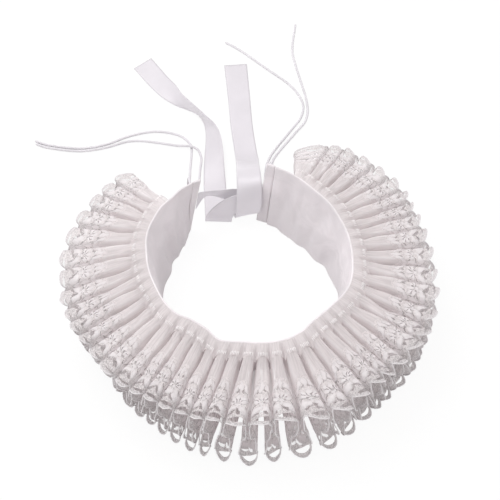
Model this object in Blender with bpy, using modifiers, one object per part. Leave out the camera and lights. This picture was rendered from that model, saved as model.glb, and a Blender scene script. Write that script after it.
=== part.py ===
"""Lace ruff collar: a standing neckband, one long pleated ruffle sewn round it in four lengths,
two satin ribbon ties crossed behind, and two thin drawstrings with free ends.

Every plan position below is in millimetres from the centre of the neck, with +Z up, -Y to the
front and +X to the wearer's left.  Azimuths are in degrees from the front, positive towards +X.
"""

import math

import bmesh
import bpy
from mathutils import Vector

MM = 0.001

# Where the middle of the neck lies in the part's frame, whose origin is under the middle of the
# collar and its ribbon tails.
NECK_X = 1.0
NECK_Y = -50.5

# Neckband: a standing wall of folded cloth that flares outwards from its lower edge.
BAND_HEIGHT = 58.0
BAND_WALL = 1.6
BAND_COLUMNS = 60
BAND_ROWS = 2
HEM_WIDTH = 7.0
HEM_WALL = 2.6
SEAM_GAP = 0.3

# One row for each section of the band, from its right end round the front to its left end:
# azimuth and inner radius of the top edge, then of the bottom edge.
BAND_SECTIONS = (
    (170.0, 83.5, 175.0, 68.0),
    (161.0, 81.5, 161.0, 64.5),
    (150.0, 79.0, 148.0, 60.0),
    (138.0, 76.5, 136.0, 59.0),
    (122.0, 76.5, 121.0, 60.5),
    (105.0, 77.0, 105.0, 65.0),
    (86.0, 79.0, 86.0, 70.5),
    (66.0, 82.0, 66.0, 73.0),
    (50.0, 79.5, 50.0, 72.0),
    (37.0, 79.0, 37.0, 72.0),
    (27.0, 82.5, 27.0, 73.0),
    (14.0, 83.5, 14.0, 73.5),
    (-1.0, 81.5, -1.0, 73.0),
    (-15.0, 82.5, -15.0, 73.0),
    (-25.0, 76.5, -25.0, 70.5),
    (-36.0, 76.0, -36.0, 70.0),
    (-46.0, 79.0, -46.0, 70.5),
    (-60.0, 78.0, -60.0, 70.0),
    (-80.0, 78.0, -80.0, 70.0),
    (-100.0, 80.0, -98.0, 66.5),
    (-116.0, 80.0, -112.0, 66.5),
    (-128.0, 78.5, -122.0, 67.0),
    (-139.0, 78.5, -131.0, 70.0),
    (-150.0, 76.5, -140.0, 76.0),
)

# Ruffle: one strip in cartridge pleats, with a round fold at the top of each wave and another at
# the bottom.  It is sewn to the outside of the band, over these azimuths.
RUFFLE_START = 153.5
RUFFLE_END = -127.0
CLOTH_WALL = 1.2
TOP_Z = BAND_HEIGHT - CLOTH_WALL
LOW_Z_SEAM = 1.4
LOW_Z_TIP = 3.4
# Share of a pleat by which a round fold bulges sideways over its waist, at the seam and the tip.
BULGE_SEAM = 0.14
BULGE_TIP = 0.27
COLUMNS_PER_PLEAT = 12
# Height of the wave, as a share of its round crown, at which the fold's top is pressed flat.
FLAT_TOP = 0.9

# Rings across the strip, as shares of the way from the seam to the scalloped edge.  The lace is
# open between the last two inner rings, under its corded border.
STRIP_RINGS = (0.0, 0.35, 0.835, 0.915, 1.0)
OPEN_RING = 2

# One row for each upper fold, from the right end to the left: azimuth and radius of its tip, and
# how far the tip hangs below the band's top edge.
FOLDS = (
    (153.5, 132.0, 16.0),
    (146.5, 135.0, 12.0),
    (141.0, 134.0, 8.0),
    (134.0, 134.0, 4.0),
    (126.5, 134.5, 1.0),
    (118.5, 135.0, 0.0),
    (113.0, 136.5, 0.0),
    (108.5, 136.5, 0.0),
    (102.5, 136.5, 0.0),
    (96.0, 138.0, 0.0),
    (89.0, 141.0, 0.0),
    (81.0, 143.0, 0.0),
    (73.5, 147.0, 0.0),
    (66.5, 149.0, 0.0),
    (61.0, 150.0, 0.0),
    (55.0, 149.0, 0.0),
    (48.0, 147.0, 0.0),
    (43.5, 147.0, 0.0),
    (39.5, 147.0, 0.0),
    (33.0, 148.0, 0.0),
    (26.5, 151.0, 0.0),
    (19.0, 149.0, 0.0),
    (10.0, 145.0, 0.0),
    (3.5, 146.0, 0.0),
    (-4.0, 146.0, 0.0),
    (-10.5, 145.0, 0.0),
    (-15.0, 146.0, 0.0),
    (-19.5, 145.0, 0.0),
    (-24.5, 146.0, 0.0),
    (-29.5, 145.0, 0.0),
    (-34.0, 146.0, 0.0),
    (-38.5, 147.0, 0.0),
    (-45.0, 147.0, 0.0),
    (-51.5, 145.0, 0.0),
    (-57.5, 145.0, 0.0),
    (-62.0, 147.0, 0.0),
    (-67.0, 147.0, 0.0),
    (-72.5, 147.0, 0.0),
    (-80.5, 144.0, 0.0),
    (-87.0, 144.0, 0.0),
    (-96.5, 141.0, 0.0),
    (-105.5, 137.0, 2.0),
    (-112.5, 135.0, 6.0),
    (-121.5, 136.0, 11.0),
    (-127.5, 131.0, 8.0),
)

# The strip's free ends, past the first and the last fold, in the same columns.
FREE_END_RIGHT = (163.0, 121.0, 22.0)
FREE_END_LEFT = (-133.5, 128.0, 13.0)

# How much further out each lower fold reaches than the upper folds beside it, by azimuth.
LOW_FOLD_REACH = (
    (160.0, -4.0),
    (60.0, -4.0),
    (34.0, -2.0),
    (18.0, 4.0),
    (0.0, 7.0),
    (-16.0, 3.0),
    (-30.0, -4.0),
    (-48.0, -11.0),
    (-80.0, -9.0),
    (-140.0, -6.0),
)

# The strip is joined from four lengths, which meet at these pleats.
RUFFLE_LENGTHS = (
    ("ruffle_right_back", 0, 11),
    ("ruffle_right_front", 11, 23),
    ("ruffle_left_front", 23, 34),
    ("ruffle_left_back", 34, 45),
)

# Satin ribbons, 20 mm wide.  One row for each section: one long edge, then the other.
RIBBON_WALL = 1.0
RIBBON_STEPS = 3
FLOOR_Z = RIBBON_WALL / 2 + 0.02

# From the right end of the band, down to a fold on the floor, then back as the left tail.
TIE_RIGHT_SECTIONS = (
    ((11.0, 79.2, 36.0), (7.6, 74.0, 17.0)),
    ((1.5, 76.5, 34.0), (0.0, 71.5, 14.8)),
    ((-9.3, 74.0, 29.5), (-9.0, 69.0, 11.8)),
    ((-20.0, 73.0, 23.5), (-12.6, 68.2, 7.4)),
    ((-28.5, 72.0, 15.0), (-13.9, 67.9, 4.6)),
    ((-34.5, 70.5, 7.2), (-14.3, 67.8, 3.6)),
    ((-36.8, 68.4, 3.2), (-14.5, 67.5, 3.2)),
    ((-37.0, 66.9, 1.9), (-14.8, 66.2, 1.9)),
    ((-37.0, 68.4, FLOOR_Z), (-15.2, 67.7, FLOOR_Z)),
    ((-37.8, 82.0, FLOOR_Z), (-17.8, 82.0, FLOOR_Z)),
    ((-39.0, 100.0, FLOOR_Z), (-19.5, 100.0, FLOOR_Z)),
    ((-39.4, 118.0, FLOOR_Z), (-21.2, 118.0, 5.0)),
    ((-39.0, 138.0, 0.8), (-23.0, 137.0, 11.0)),
    ((-38.4, 156.0, 0.9), (-25.5, 152.0, 14.5)),
    ((-39.8, 171.0, 0.9), (-31.0, 162.0, 15.4)),
    ((-45.5, 183.0, 0.9), (-40.5, 173.0, 16.2)),
    ((-55.5, 189.5, 0.9), (-51.5, 186.0, 15.6)),
    ((-66.0, 194.5, 0.9), (-61.0, 202.0, 9.5)),
    ((-78.0, 203.5, 0.8), (-67.0, 217.5, 3.2)),
    ((-90.8, 218.0, FLOOR_Z), (-75.8, 230.8, FLOOR_Z)),
    ((-106.7, 240.2, FLOOR_Z), (-91.3, 253.2, FLOOR_Z)),
)

# From the left end of the band, behind and under the other ribbon, up its front, over its top
# edge, and back along the floor as the right tail.
TIE_LEFT_SECTIONS = (
    ((-41.4, 67.2, 40.0), (-44.6, 64.6, 21.5)),
    ((-35.5, 70.0, 38.0), (-36.5, 77.5, 21.0)),
    ((-24.0, 75.5, 32.5), (-23.5, 81.0, 14.5)),
    ((-11.5, 79.5, 29.5), (-14.5, 79.8, 10.4)),
    ((-0.8, 80.8, 25.5), (-13.4, 79.0, 8.2)),
    ((4.6, 80.2, 18.0), (-12.8, 77.5, 6.6)),
    ((5.4, 77.0, 11.6), (-12.5, 74.5, 5.2)),
    ((5.4, 72.0, 8.6), (-12.4, 69.0, 4.3)),
    ((7.0, 69.4, 9.6), (-11.9, 66.4, 6.2)),
    ((9.4, 68.0, 14.0), (-11.4, 65.6, 10.6)),
    ((10.6, 69.8, 22.0), (-10.8, 66.8, 18.4)),
    ((10.8, 73.4, 31.0), (-10.4, 70.0, 27.5)),
    ((10.4, 79.0, 38.6), (-10.2, 76.0, 34.8)),
    ((9.5, 88.0, 39.5), (-10.3, 86.0, 36.4)),
    ((8.7, 99.0, 33.8), (-10.6, 98.0, 31.0)),
    ((8.4, 110.0, 24.0), (-10.9, 109.5, 21.5)),
    ((8.4, 120.5, 13.0), (-11.4, 120.5, 12.0)),
    ((8.1, 131.0, 4.4), (-12.0, 131.5, 4.0)),
    ((6.6, 143.0, FLOOR_Z), (-13.2, 144.0, FLOOR_Z)),
    ((3.2, 171.0, FLOOR_Z), (-16.6, 171.0, FLOOR_Z)),
    ((1.0, 202.0, FLOOR_Z), (-19.2, 202.0, FLOOR_Z)),
    ((-2.2, 246.0, FLOOR_Z), (-23.2, 244.0, FLOOR_Z)),
)

# Drawstrings.  Each leaves the outside of a hem at a height, drops behind the band and lies on
# the floor; its route holds the points that the smooth curve runs through.
CORD_RADIUS = 1.1
CORD_Z = CORD_RADIUS + 0.1
CORD_STEP = 6.5
CROSSING_Z = CORD_Z + 2 * CORD_RADIUS + 0.5

CORDS = (
    ("cord_left_upper", "left", 46.0, (
        (-49.5, 80.5, 42.0),
        (-51.0, 86.0, 24.0),
        (-51.4, 91.0, 8.0),
        (-51.5, 100.0, CORD_Z),
        (-51.3, 120.0, CORD_Z),
        (-50.6, 141.0, CORD_Z),
        (-52.6, 150.6, CORD_Z),
        (-63.2, 160.2, CORD_Z),
        (-83.8, 164.2, CORD_Z),
        (-105.8, 159.0, CORD_Z),
        (-126.4, 149.4, CORD_Z),
        (-148.9, 145.0, CORD_Z),
        (-175.6, 148.4, CORD_Z),
        (-189.3, 153.4, CORD_Z),
    )),
    ("cord_left_lower", "left", 12.0, (
        (-55.4, 69.0, 9.5),
        (-53.8, 76.5, 4.0),
        (-50.5, 84.5, CORD_Z),
        (-46.8, 94.5, CORD_Z),
        (-43.6, 107.0, CORD_Z),
        (-42.6, 122.0, CORD_Z),
        (-42.0, 134.0, CORD_Z),
        (-45.0, 142.2, 2.6),
        (-50.8, 145.0, CROSSING_Z),
        (-57.5, 146.6, 2.9),
        (-66.0, 148.6, CORD_Z),
        (-92.2, 153.2, CORD_Z),
        (-108.0, 152.6, CORD_Z),
        (-126.1, 146.0, CORD_Z),
        (-148.7, 142.0, CORD_Z),
        (-175.6, 145.4, CORD_Z),
        (-188.2, 150.0, CORD_Z),
    )),
    ("cord_right_outer", "right", 46.0, (
        (17.0, 97.0, 42.0),
        (18.0, 102.0, 24.0),
        (18.2, 107.0, 8.0),
        (18.6, 116.0, CORD_Z),
        (20.0, 129.0, CORD_Z),
        (26.0, 141.0, CORD_Z),
        (41.0, 162.6, CORD_Z),
        (51.0, 178.6, CORD_Z),
        (52.0, 200.0, CORD_Z),
        (43.3, 241.8, CORD_Z),
        (40.3, 264.0, CORD_Z),
        (43.9, 296.0, CORD_Z),
    )),
    ("cord_right_inner", "right", 12.0, (
        (11.5, 82.0, 9.0),
        (12.6, 90.0, 2.4),
        (13.4, 102.0, CORD_Z),
        (14.2, 116.0, CORD_Z),
        (16.0, 129.0, CORD_Z),
        (22.0, 142.4, CORD_Z),
        (37.2, 165.6, CORD_Z),
        (46.8, 182.0, CORD_Z),
        (48.0, 199.0, CORD_Z),
        (37.3, 219.0, CORD_Z),
        (15.5, 239.8, CORD_Z),
        (-8.0, 262.0, CORD_Z),
        (-22.3, 272.6, CORD_Z),
    )),
)

# Name, base colour, roughness and metallic value of each finish.
FINISHES = {
    "band_cotton": ((0.80, 0.78, 0.80), 0.75),
    "lace_organza": ((0.86, 0.83, 0.83), 0.60),
    "satin_ribbon": ((0.80, 0.78, 0.84), 0.35),
    "drawstring": ((0.84, 0.82, 0.85), 0.60),
}


def place(x, y, z):
    """A point measured from the neck's centre, in the part's frame and in metres."""
    return Vector((x + NECK_X, y + NECK_Y, z)) * MM


def on_ring(azimuth, radius, z):
    """The point at this azimuth (degrees) and radius about the neck's centre."""
    angle = math.radians(azimuth)
    return Vector((radius * math.sin(angle), -radius * math.cos(angle), z))


def smooth(a, b, c, d, t):
    """Catmull-Rom curve from b to c."""
    return 0.5 * (2 * b + (c - a) * t + (2 * a - 5 * b + 4 * c - d) * t * t
                  + (3 * b - a - 3 * c + d) * t ** 3)


def table_at(rows, where):
    """The rows of a table read as smooth curves, where 0 is the first row and 1 the next."""
    last = len(rows) - 1
    i = min(max(int(math.floor(where)), 0), last - 1)
    near = [rows[min(max(k, 0), last)] for k in (i - 1, i, i + 1, i + 2)]
    return [smooth(*column, where - i) for column in zip(*near)]


def between(near, far, share):
    """A row part of the way from one row to another."""
    return [a + (b - a) * share for a, b in zip(near, far)]


def fold_at(pleat):
    """Azimuth, radius and drop of the strip's edge, read straight between the folds' rows."""
    if pleat < 0.5:
        return between(FREE_END_RIGHT, FOLDS[0], pleat / 0.5)
    if pleat > len(FOLDS) - 0.5:
        return between(FREE_END_LEFT, FOLDS[-1], (len(FOLDS) - pleat) / 0.5)
    where = pleat - 0.5
    i = min(int(where), len(FOLDS) - 2)
    return between(FOLDS[i], FOLDS[i + 1], where - i)


def low_fold_reach(azimuth):
    """How much further out the strip's edge reaches at the foot of a wave than at its top."""
    for near, far in zip(LOW_FOLD_REACH, LOW_FOLD_REACH[1:]):
        if azimuth >= far[0]:
            return near[1] + (far[1] - near[1]) * (near[0] - azimuth) / (near[0] - far[0])
    return LOW_FOLD_REACH[-1][1]


# ---- neckband -------------------------------------------------------------------------------

def band_section(where):
    """Top azimuth and radius, then bottom azimuth and radius, of the band's inner face."""
    return table_at(BAND_SECTIONS, where)


def band_point(where, z, outward=0.0):
    """A point on the band's inner face at a height, moved outwards by a distance."""
    top_azimuth, top_radius, low_azimuth, low_radius = band_section(where)
    share = z / BAND_HEIGHT
    azimuth = low_azimuth + (top_azimuth - low_azimuth) * share
    radius = low_radius + (top_radius - low_radius) * share
    return on_ring(azimuth, radius + outward, z)


def band_where(azimuth, z):
    """The section of the band that lies at this azimuth and height."""
    low, high = 0.0, len(BAND_SECTIONS) - 1.0
    for _ in range(30):
        middle = (low + high) / 2
        point = band_point(middle, z)
        if math.degrees(math.atan2(point.x, -point.y)) > azimuth:
            low = middle
        else:
            high = middle
    return (low + high) / 2


def band_facing(where, z):
    """The direction straight out of the band's outer face."""
    along = band_point(where + 0.05, z, HEM_WALL) - band_point(where - 0.05, z, HEM_WALL)
    up = band_point(where, z + 1.0, HEM_WALL) - band_point(where, z - 1.0, HEM_WALL)
    facing = along.cross(up).normalized()
    outward = band_point(where, z, HEM_WALL) - band_point(where, z)
    return facing if facing.dot(outward) > 0 else -facing


def where_along(start, distance):
    """The section that lies a distance along the top edge from a section; minus goes back."""
    step = 0.002 if distance > 0 else -0.002
    where = start
    walked = 0.0
    point = band_point(where, BAND_HEIGHT)
    while walked < abs(distance):
        where += step
        after = band_point(where, BAND_HEIGHT)
        walked += (after - point).length
        point = after
    return where


def wall(name, first, last, columns, thickness, finish):
    """A stretch of the band: a closed wall between two sections, with level edges."""
    shell = bmesh.new()
    rings = []
    for i in range(columns + 1):
        where = first + (last - first) * i / columns
        ring = []
        for row in range(BAND_ROWS + 1):
            ring.append(band_point(where, BAND_HEIGHT * row / BAND_ROWS))
        for row in range(BAND_ROWS, -1, -1):
            ring.append(band_point(where, BAND_HEIGHT * row / BAND_ROWS, thickness))
        rings.append([shell.verts.new(place(*point)) for point in ring])
    for before, after in zip(rings, rings[1:]):
        for k in range(len(before)):
            j = (k + 1) % len(before)
            shell.faces.new((before[k], before[j], after[j], after[k]))
    shell.faces.new(rings[0])
    shell.faces.new(rings[-1])
    return finished(name, shell, finish)


# ---- ruffle ---------------------------------------------------------------------------------

def wave(phase, bulge):
    """Sideways place and height (-1 to 1) of the pleat's section at a phase of its wave."""
    height = math.cos(2 * math.pi * phase) / FLAT_TOP
    return phase + bulge * math.sin(4 * math.pi * phase), max(-1.0, min(1.0, height))


def even_phases():
    """Phases that divide one pleat's section into columns of equal length of cloth."""
    pitch = 16.0
    half_depth = (TOP_Z - LOW_Z_TIP) / 2
    samples = 600
    lengths = [0.0]
    before = wave(0.0, BULGE_TIP)
    for i in range(1, samples + 1):
        after = wave(i / samples, BULGE_TIP)
        step = math.hypot((after[0] - before[0]) * pitch, (after[1] - before[1]) * half_depth)
        lengths.append(lengths[-1] + step)
        before = after
    phases = []
    for column in range(COLUMNS_PER_PLEAT):
        target = lengths[-1] * (column + 0.5) / COLUMNS_PER_PLEAT
        phases.append(next(i for i, length in enumerate(lengths) if length >= target) / samples)
    return phases


def ruffle_point(pleat, phase, ring):
    """A point of the strip: the pleat it is in, the phase of its wave, and its ring."""
    bulge = BULGE_SEAM + (BULGE_TIP - BULGE_SEAM) * ring
    sideways, height = wave(phase, bulge)
    along = pleat + 0.5 + sideways
    raised = (1 + height) / 2
    azimuth, radius, drop = fold_at(along)
    low = LOW_Z_SEAM + (LOW_Z_TIP - LOW_Z_SEAM) * ring
    z = low + (TOP_Z - low) * raised - drop * raised * ring
    base_azimuth = RUFFLE_START + (RUFFLE_END - RUFFLE_START) * along / len(FOLDS)
    base_z = LOW_Z_SEAM + (TOP_Z - LOW_Z_SEAM) * raised
    outward = BAND_WALL + SEAM_GAP + CLOTH_WALL / 2
    base = band_point(band_where(base_azimuth, base_z), base_z, outward)
    tip = on_ring(azimuth, radius + low_fold_reach(azimuth) * (1 - raised), z)
    point = base.lerp(tip, ring)
    point.z = z
    return point


def ruffle_stops(first, last, phases):
    """(pleat, phase, column) along one length, from mid-column to mid-column of its end walls."""
    half = COLUMNS_PER_PLEAT // 2
    seam = half + 2
    middle = (phases[seam] + phases[seam + 1]) / 2
    nudge = 0.04 * (phases[seam + 1] - phases[seam])
    stops = []
    if first == 0:
        stops += [(-1, phases[k], k) for k in range(half, COLUMNS_PER_PLEAT)]
    else:
        stops.append((first - 1, middle + nudge, seam))
        stops += [(first - 1, phases[k], k) for k in range(seam + 1, COLUMNS_PER_PLEAT)]
    for pleat in range(first, last - 1):
        stops += [(pleat, phases[k], k) for k in range(COLUMNS_PER_PLEAT)]
    if last == len(FOLDS):
        stops += [(last - 1, phases[k], k) for k in range(half)]
    else:
        stops += [(last - 1, phases[k], k) for k in range(seam + 1)]
        stops.append((last - 1, middle - nudge, seam))
    return stops


def ruffle(name, first, last, finish):
    """One length of the strip, an open sheet given its wall by Solidify."""
    stops = ruffle_stops(first, last, even_phases())
    sheet = bmesh.new()
    lines = []
    for pleat, phase, _ in stops:
        line = [ruffle_point(pleat, phase, ring) for ring in STRIP_RINGS]
        lines.append([sheet.verts.new(place(*point)) for point in line])
    for (_, _, column), before, after in zip(stops, lines, lines[1:]):
        for k in range(len(STRIP_RINGS) - 1):
            if k == OPEN_RING and column % 2 == 1:
                continue
            sheet.faces.new((before[k], before[k + 1], after[k + 1], after[k]))
    obj = finished(name, sheet, finish, closed=False)
    add_wall(obj, CLOTH_WALL)
    return obj


# ---- ribbons and drawstrings ----------------------------------------------------------------

def ribbon(name, sections, finish):
    """A flat ribbon through its sections, an open sheet given its wall by Solidify."""
    rows = [one + other for one, other in sections]
    sheet = bmesh.new()
    lines = []
    for i in range((len(rows) - 1) * RIBBON_STEPS + 1):
        values = table_at(rows, i / RIBBON_STEPS)
        values[2] = max(values[2], FLOOR_Z)
        values[5] = max(values[5], FLOOR_Z)
        ends = (place(*values[:3]), place(*values[3:]))
        middle = (ends[0] + ends[1]) / 2
        lines.append([sheet.verts.new(point) for point in (ends[0], middle, ends[1])])
    for before, after in zip(lines, lines[1:]):
        sheet.faces.new((before[0], before[1], after[1], after[0]))
        sheet.faces.new((before[1], before[2], after[2], after[1]))
    obj = finished(name, sheet, finish, closed=False)
    add_wall(obj, RIBBON_WALL)
    return obj


def cord(name, side, exit_z, route, finish):
    """A thin round cord from the outside of a hem, along a smooth route, with filled ends."""
    ends = len(BAND_SECTIONS) - 1
    where = where_along(0.0, HEM_WIDTH / 2) if side == "right" else where_along(ends, -HEM_WIDTH / 2)
    facing = band_facing(where, exit_z)
    leaving = band_point(where, exit_z, HEM_WALL) + facing * SEAM_GAP
    straight = leaving + facing * 4.0
    rows = [tuple(leaving), tuple(straight)] + list(route)
    points = [Vector(rows[0])]
    samples = 40
    for i in range(1, (len(rows) - 1) * samples + 1):
        point = Vector(table_at(rows, i / samples))
        point.z = max(point.z, CORD_Z)
        if (point - points[-1]).length >= CORD_STEP or i == (len(rows) - 1) * samples:
            points.append(point)
    curve = bpy.data.curves.new(name, "CURVE")
    curve.dimensions = "3D"
    curve.bevel_depth = CORD_RADIUS * MM
    curve.bevel_resolution = 2
    curve.use_fill_caps = True
    spline = curve.splines.new("POLY")
    spline.points.add(len(points) - 1)
    for target, point in zip(spline.points, points):
        target.co = (*place(*point), 1.0)
    obj = bpy.data.objects.new(name, curve)
    curve.materials.append(finish)
    bpy.data.collections["ruff_collar"].objects.link(obj)
    return obj


# ---- shared ---------------------------------------------------------------------------------

def finished(name, cage, finish, closed=True):
    """A named object in the collar's collection, made from a bmesh."""
    bmesh.ops.recalc_face_normals(cage, faces=cage.faces)
    mesh = bpy.data.meshes.new(name)
    cage.to_mesh(mesh)
    cage.free()
    mesh.materials.append(finish)
    if not closed:
        mesh.shade_smooth()
    obj = bpy.data.objects.new(name, mesh)
    bpy.data.collections["ruff_collar"].objects.link(obj)
    return obj


def add_wall(obj, thickness):
    """Give an open sheet its thickness, half on each side."""
    solidify = obj.modifiers.new("Wall", "SOLIDIFY")
    solidify.thickness = thickness * MM
    solidify.offset = 0.0
    solidify.use_rim = True


def make_finish(name, color, roughness):
    """A Principled material."""
    material = bpy.data.materials.new(name)
    material.use_nodes = True
    shader = material.node_tree.nodes["Principled BSDF"]
    shader.inputs["Base Color"].default_value = (*color, 1.0)
    shader.inputs["Roughness"].default_value = roughness
    shader.inputs["Metallic"].default_value = 0.0
    return material


def main():
    for obj in list(bpy.data.objects):
        bpy.data.objects.remove(obj, do_unlink=True)
    collection = bpy.data.collections.new("ruff_collar")
    bpy.context.scene.collection.children.link(collection)
    finish = {name: make_finish(name, *look) for name, look in FINISHES.items()}

    end = len(BAND_SECTIONS) - 1.0
    right_hem = where_along(0.0, HEM_WIDTH)
    left_hem = where_along(end, -HEM_WIDTH)
    right_wall = where_along(0.0, HEM_WIDTH + SEAM_GAP)
    left_wall = where_along(end, -HEM_WIDTH - SEAM_GAP)
    wall("neckband", right_wall, left_wall, BAND_COLUMNS, BAND_WALL, finish["band_cotton"])
    wall("hem_right", 0.0, right_hem, 2, HEM_WALL, finish["band_cotton"])
    wall("hem_left", left_hem, end, 2, HEM_WALL, finish["band_cotton"])
    for name, first, last in RUFFLE_LENGTHS:
        ruffle(name, first, last, finish["lace_organza"])
    ribbon("tie_right", TIE_RIGHT_SECTIONS, finish["satin_ribbon"])
    ribbon("tie_left", TIE_LEFT_SECTIONS, finish["satin_ribbon"])
    for name, side, exit_z, route in CORDS:
        cord(name, side, exit_z, route, finish["drawstring"])


main()
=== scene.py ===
"""Lace ruff collar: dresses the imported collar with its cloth, lace, ribbons and drawstrings.

Plan positions in the tables below are in millimetres from the centre of the neck, with +Z up, -Y
to the front and +X to the wearer's left.  Azimuths are in degrees from the front, positive
towards +X.  Right and left in names are as seen from the front, so right is towards +X.
"""

import math

import bpy
import numpy as np
from bpy.props import FloatProperty, FloatVectorProperty, PointerProperty
from bpy.types import Operator, Panel, PropertyGroup
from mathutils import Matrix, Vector


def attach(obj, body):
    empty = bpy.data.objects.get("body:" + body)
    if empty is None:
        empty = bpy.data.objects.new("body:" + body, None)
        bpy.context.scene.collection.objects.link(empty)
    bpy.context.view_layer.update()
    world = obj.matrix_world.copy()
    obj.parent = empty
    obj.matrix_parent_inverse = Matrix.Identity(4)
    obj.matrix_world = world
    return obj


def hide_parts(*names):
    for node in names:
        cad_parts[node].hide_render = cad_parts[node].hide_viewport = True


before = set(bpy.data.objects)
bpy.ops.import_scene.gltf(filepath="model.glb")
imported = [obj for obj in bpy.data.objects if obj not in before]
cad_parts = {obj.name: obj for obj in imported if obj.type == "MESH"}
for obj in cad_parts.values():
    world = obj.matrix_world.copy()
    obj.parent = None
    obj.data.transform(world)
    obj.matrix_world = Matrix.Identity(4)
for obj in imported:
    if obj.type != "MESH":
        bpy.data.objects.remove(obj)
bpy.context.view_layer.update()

bl_info = {
    "name": "Lace Ruff Collar",
    "version": (1, 0, 0),
    "blender": (4, 5, 0),
    "location": "View3D > Sidebar > Ruff Collar",
    "description": "Builds the cloth, lace, ribbons and drawstrings of a ruff collar",
    "category": "Object",
}

MM = 0.001
BODY = "root"

# Where the middle of the neck lies in the part's frame.
NECK = np.array((1.0, -50.5, 0.0))

# ---- measurements shared with the part's solids ----------------------------------------------

BAND_HEIGHT = 58.0
BAND_WALL = 1.6
HEM_WIDTH = 7.0
HEM_WALL = 2.6
SEAM_GAP = 0.3

# Azimuth and inner radius of the band's top edge, then of its bottom edge.
BAND_SECTIONS = (
    (170.0, 83.5, 175.0, 68.0),
    (161.0, 81.5, 161.0, 64.5),
    (150.0, 79.0, 148.0, 60.0),
    (138.0, 76.5, 136.0, 59.0),
    (122.0, 76.5, 121.0, 60.5),
    (105.0, 77.0, 105.0, 65.0),
    (86.0, 79.0, 86.0, 70.5),
    (66.0, 82.0, 66.0, 73.0),
    (50.0, 79.5, 50.0, 72.0),
    (37.0, 79.0, 37.0, 72.0),
    (27.0, 82.5, 27.0, 73.0),
    (14.0, 83.5, 14.0, 73.5),
    (-1.0, 81.5, -1.0, 73.0),
    (-15.0, 82.5, -15.0, 73.0),
    (-25.0, 76.5, -25.0, 70.5),
    (-36.0, 76.0, -36.0, 70.0),
    (-46.0, 79.0, -46.0, 70.5),
    (-60.0, 78.0, -60.0, 70.0),
    (-80.0, 78.0, -80.0, 70.0),
    (-100.0, 80.0, -98.0, 66.5),
    (-116.0, 80.0, -112.0, 66.5),
    (-128.0, 78.5, -122.0, 67.0),
    (-139.0, 78.5, -131.0, 70.0),
    (-150.0, 76.5, -140.0, 76.0),
)
BAND_END = len(BAND_SECTIONS) - 1.0

RUFFLE_START = 153.5
RUFFLE_END = -127.0
RUFFLE_WALL = 1.2
TOP_Z = BAND_HEIGHT - RUFFLE_WALL
LOW_Z_SEAM = 1.4
LOW_Z_TIP = 3.4
STRIP_WIDTH = 68.0
WAVE_LENGTH = 113.0

# Azimuth and radius of each upper fold's tip, and how far the tip hangs below the band's top.
FOLDS = (
    (153.5, 132.0, 16.0), (146.5, 135.0, 12.0), (141.0, 134.0, 8.0), (134.0, 134.0, 4.0),
    (126.5, 134.5, 1.0), (118.5, 135.0, 0.0), (113.0, 136.5, 0.0), (108.5, 136.5, 0.0),
    (102.5, 136.5, 0.0), (96.0, 138.0, 0.0), (89.0, 141.0, 0.0), (81.0, 143.0, 0.0),
    (73.5, 147.0, 0.0), (66.5, 149.0, 0.0), (61.0, 150.0, 0.0), (55.0, 149.0, 0.0),
    (48.0, 147.0, 0.0), (43.5, 147.0, 0.0), (39.5, 147.0, 0.0), (33.0, 148.0, 0.0),
    (26.5, 151.0, 0.0), (19.0, 149.0, 0.0), (10.0, 145.0, 0.0), (3.5, 146.0, 0.0),
    (-4.0, 146.0, 0.0), (-10.5, 145.0, 0.0), (-15.0, 146.0, 0.0), (-19.5, 145.0, 0.0),
    (-24.5, 146.0, 0.0), (-29.5, 145.0, 0.0), (-34.0, 146.0, 0.0), (-38.5, 147.0, 0.0),
    (-45.0, 147.0, 0.0), (-51.5, 145.0, 0.0), (-57.5, 145.0, 0.0), (-62.0, 147.0, 0.0),
    (-67.0, 147.0, 0.0), (-72.5, 147.0, 0.0), (-80.5, 144.0, 0.0), (-87.0, 144.0, 0.0),
    (-96.5, 141.0, 0.0), (-105.5, 137.0, 2.0), (-112.5, 135.0, 6.0), (-121.5, 136.0, 11.0),
    (-127.5, 131.0, 8.0),
)
FREE_END_RIGHT = (163.0, 121.0, 22.0)
FREE_END_LEFT = (-133.5, 128.0, 13.0)

# How much further out each lower fold reaches than the upper folds beside it, by azimuth.
LOW_FOLD_REACH = (
    (-140.0, -6.0), (-80.0, -9.0), (-48.0, -11.0), (-30.0, -4.0), (-16.0, 3.0),
    (0.0, 7.0), (18.0, 4.0), (34.0, -2.0), (60.0, -4.0), (160.0, -4.0),
)

# Each length of the ruffle: its name, and where it starts and ends, in waves along the strip.
RUFFLE_LENGTHS = (
    ("ruffle_right_back", -1 + 6.5 / 12, 10.75),
    ("ruffle_right_front", 10.75, 22.75),
    ("ruffle_left_front", 22.75, 33.75),
    ("ruffle_left_back", 33.75, 44 + 5.5 / 12),
)

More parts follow.
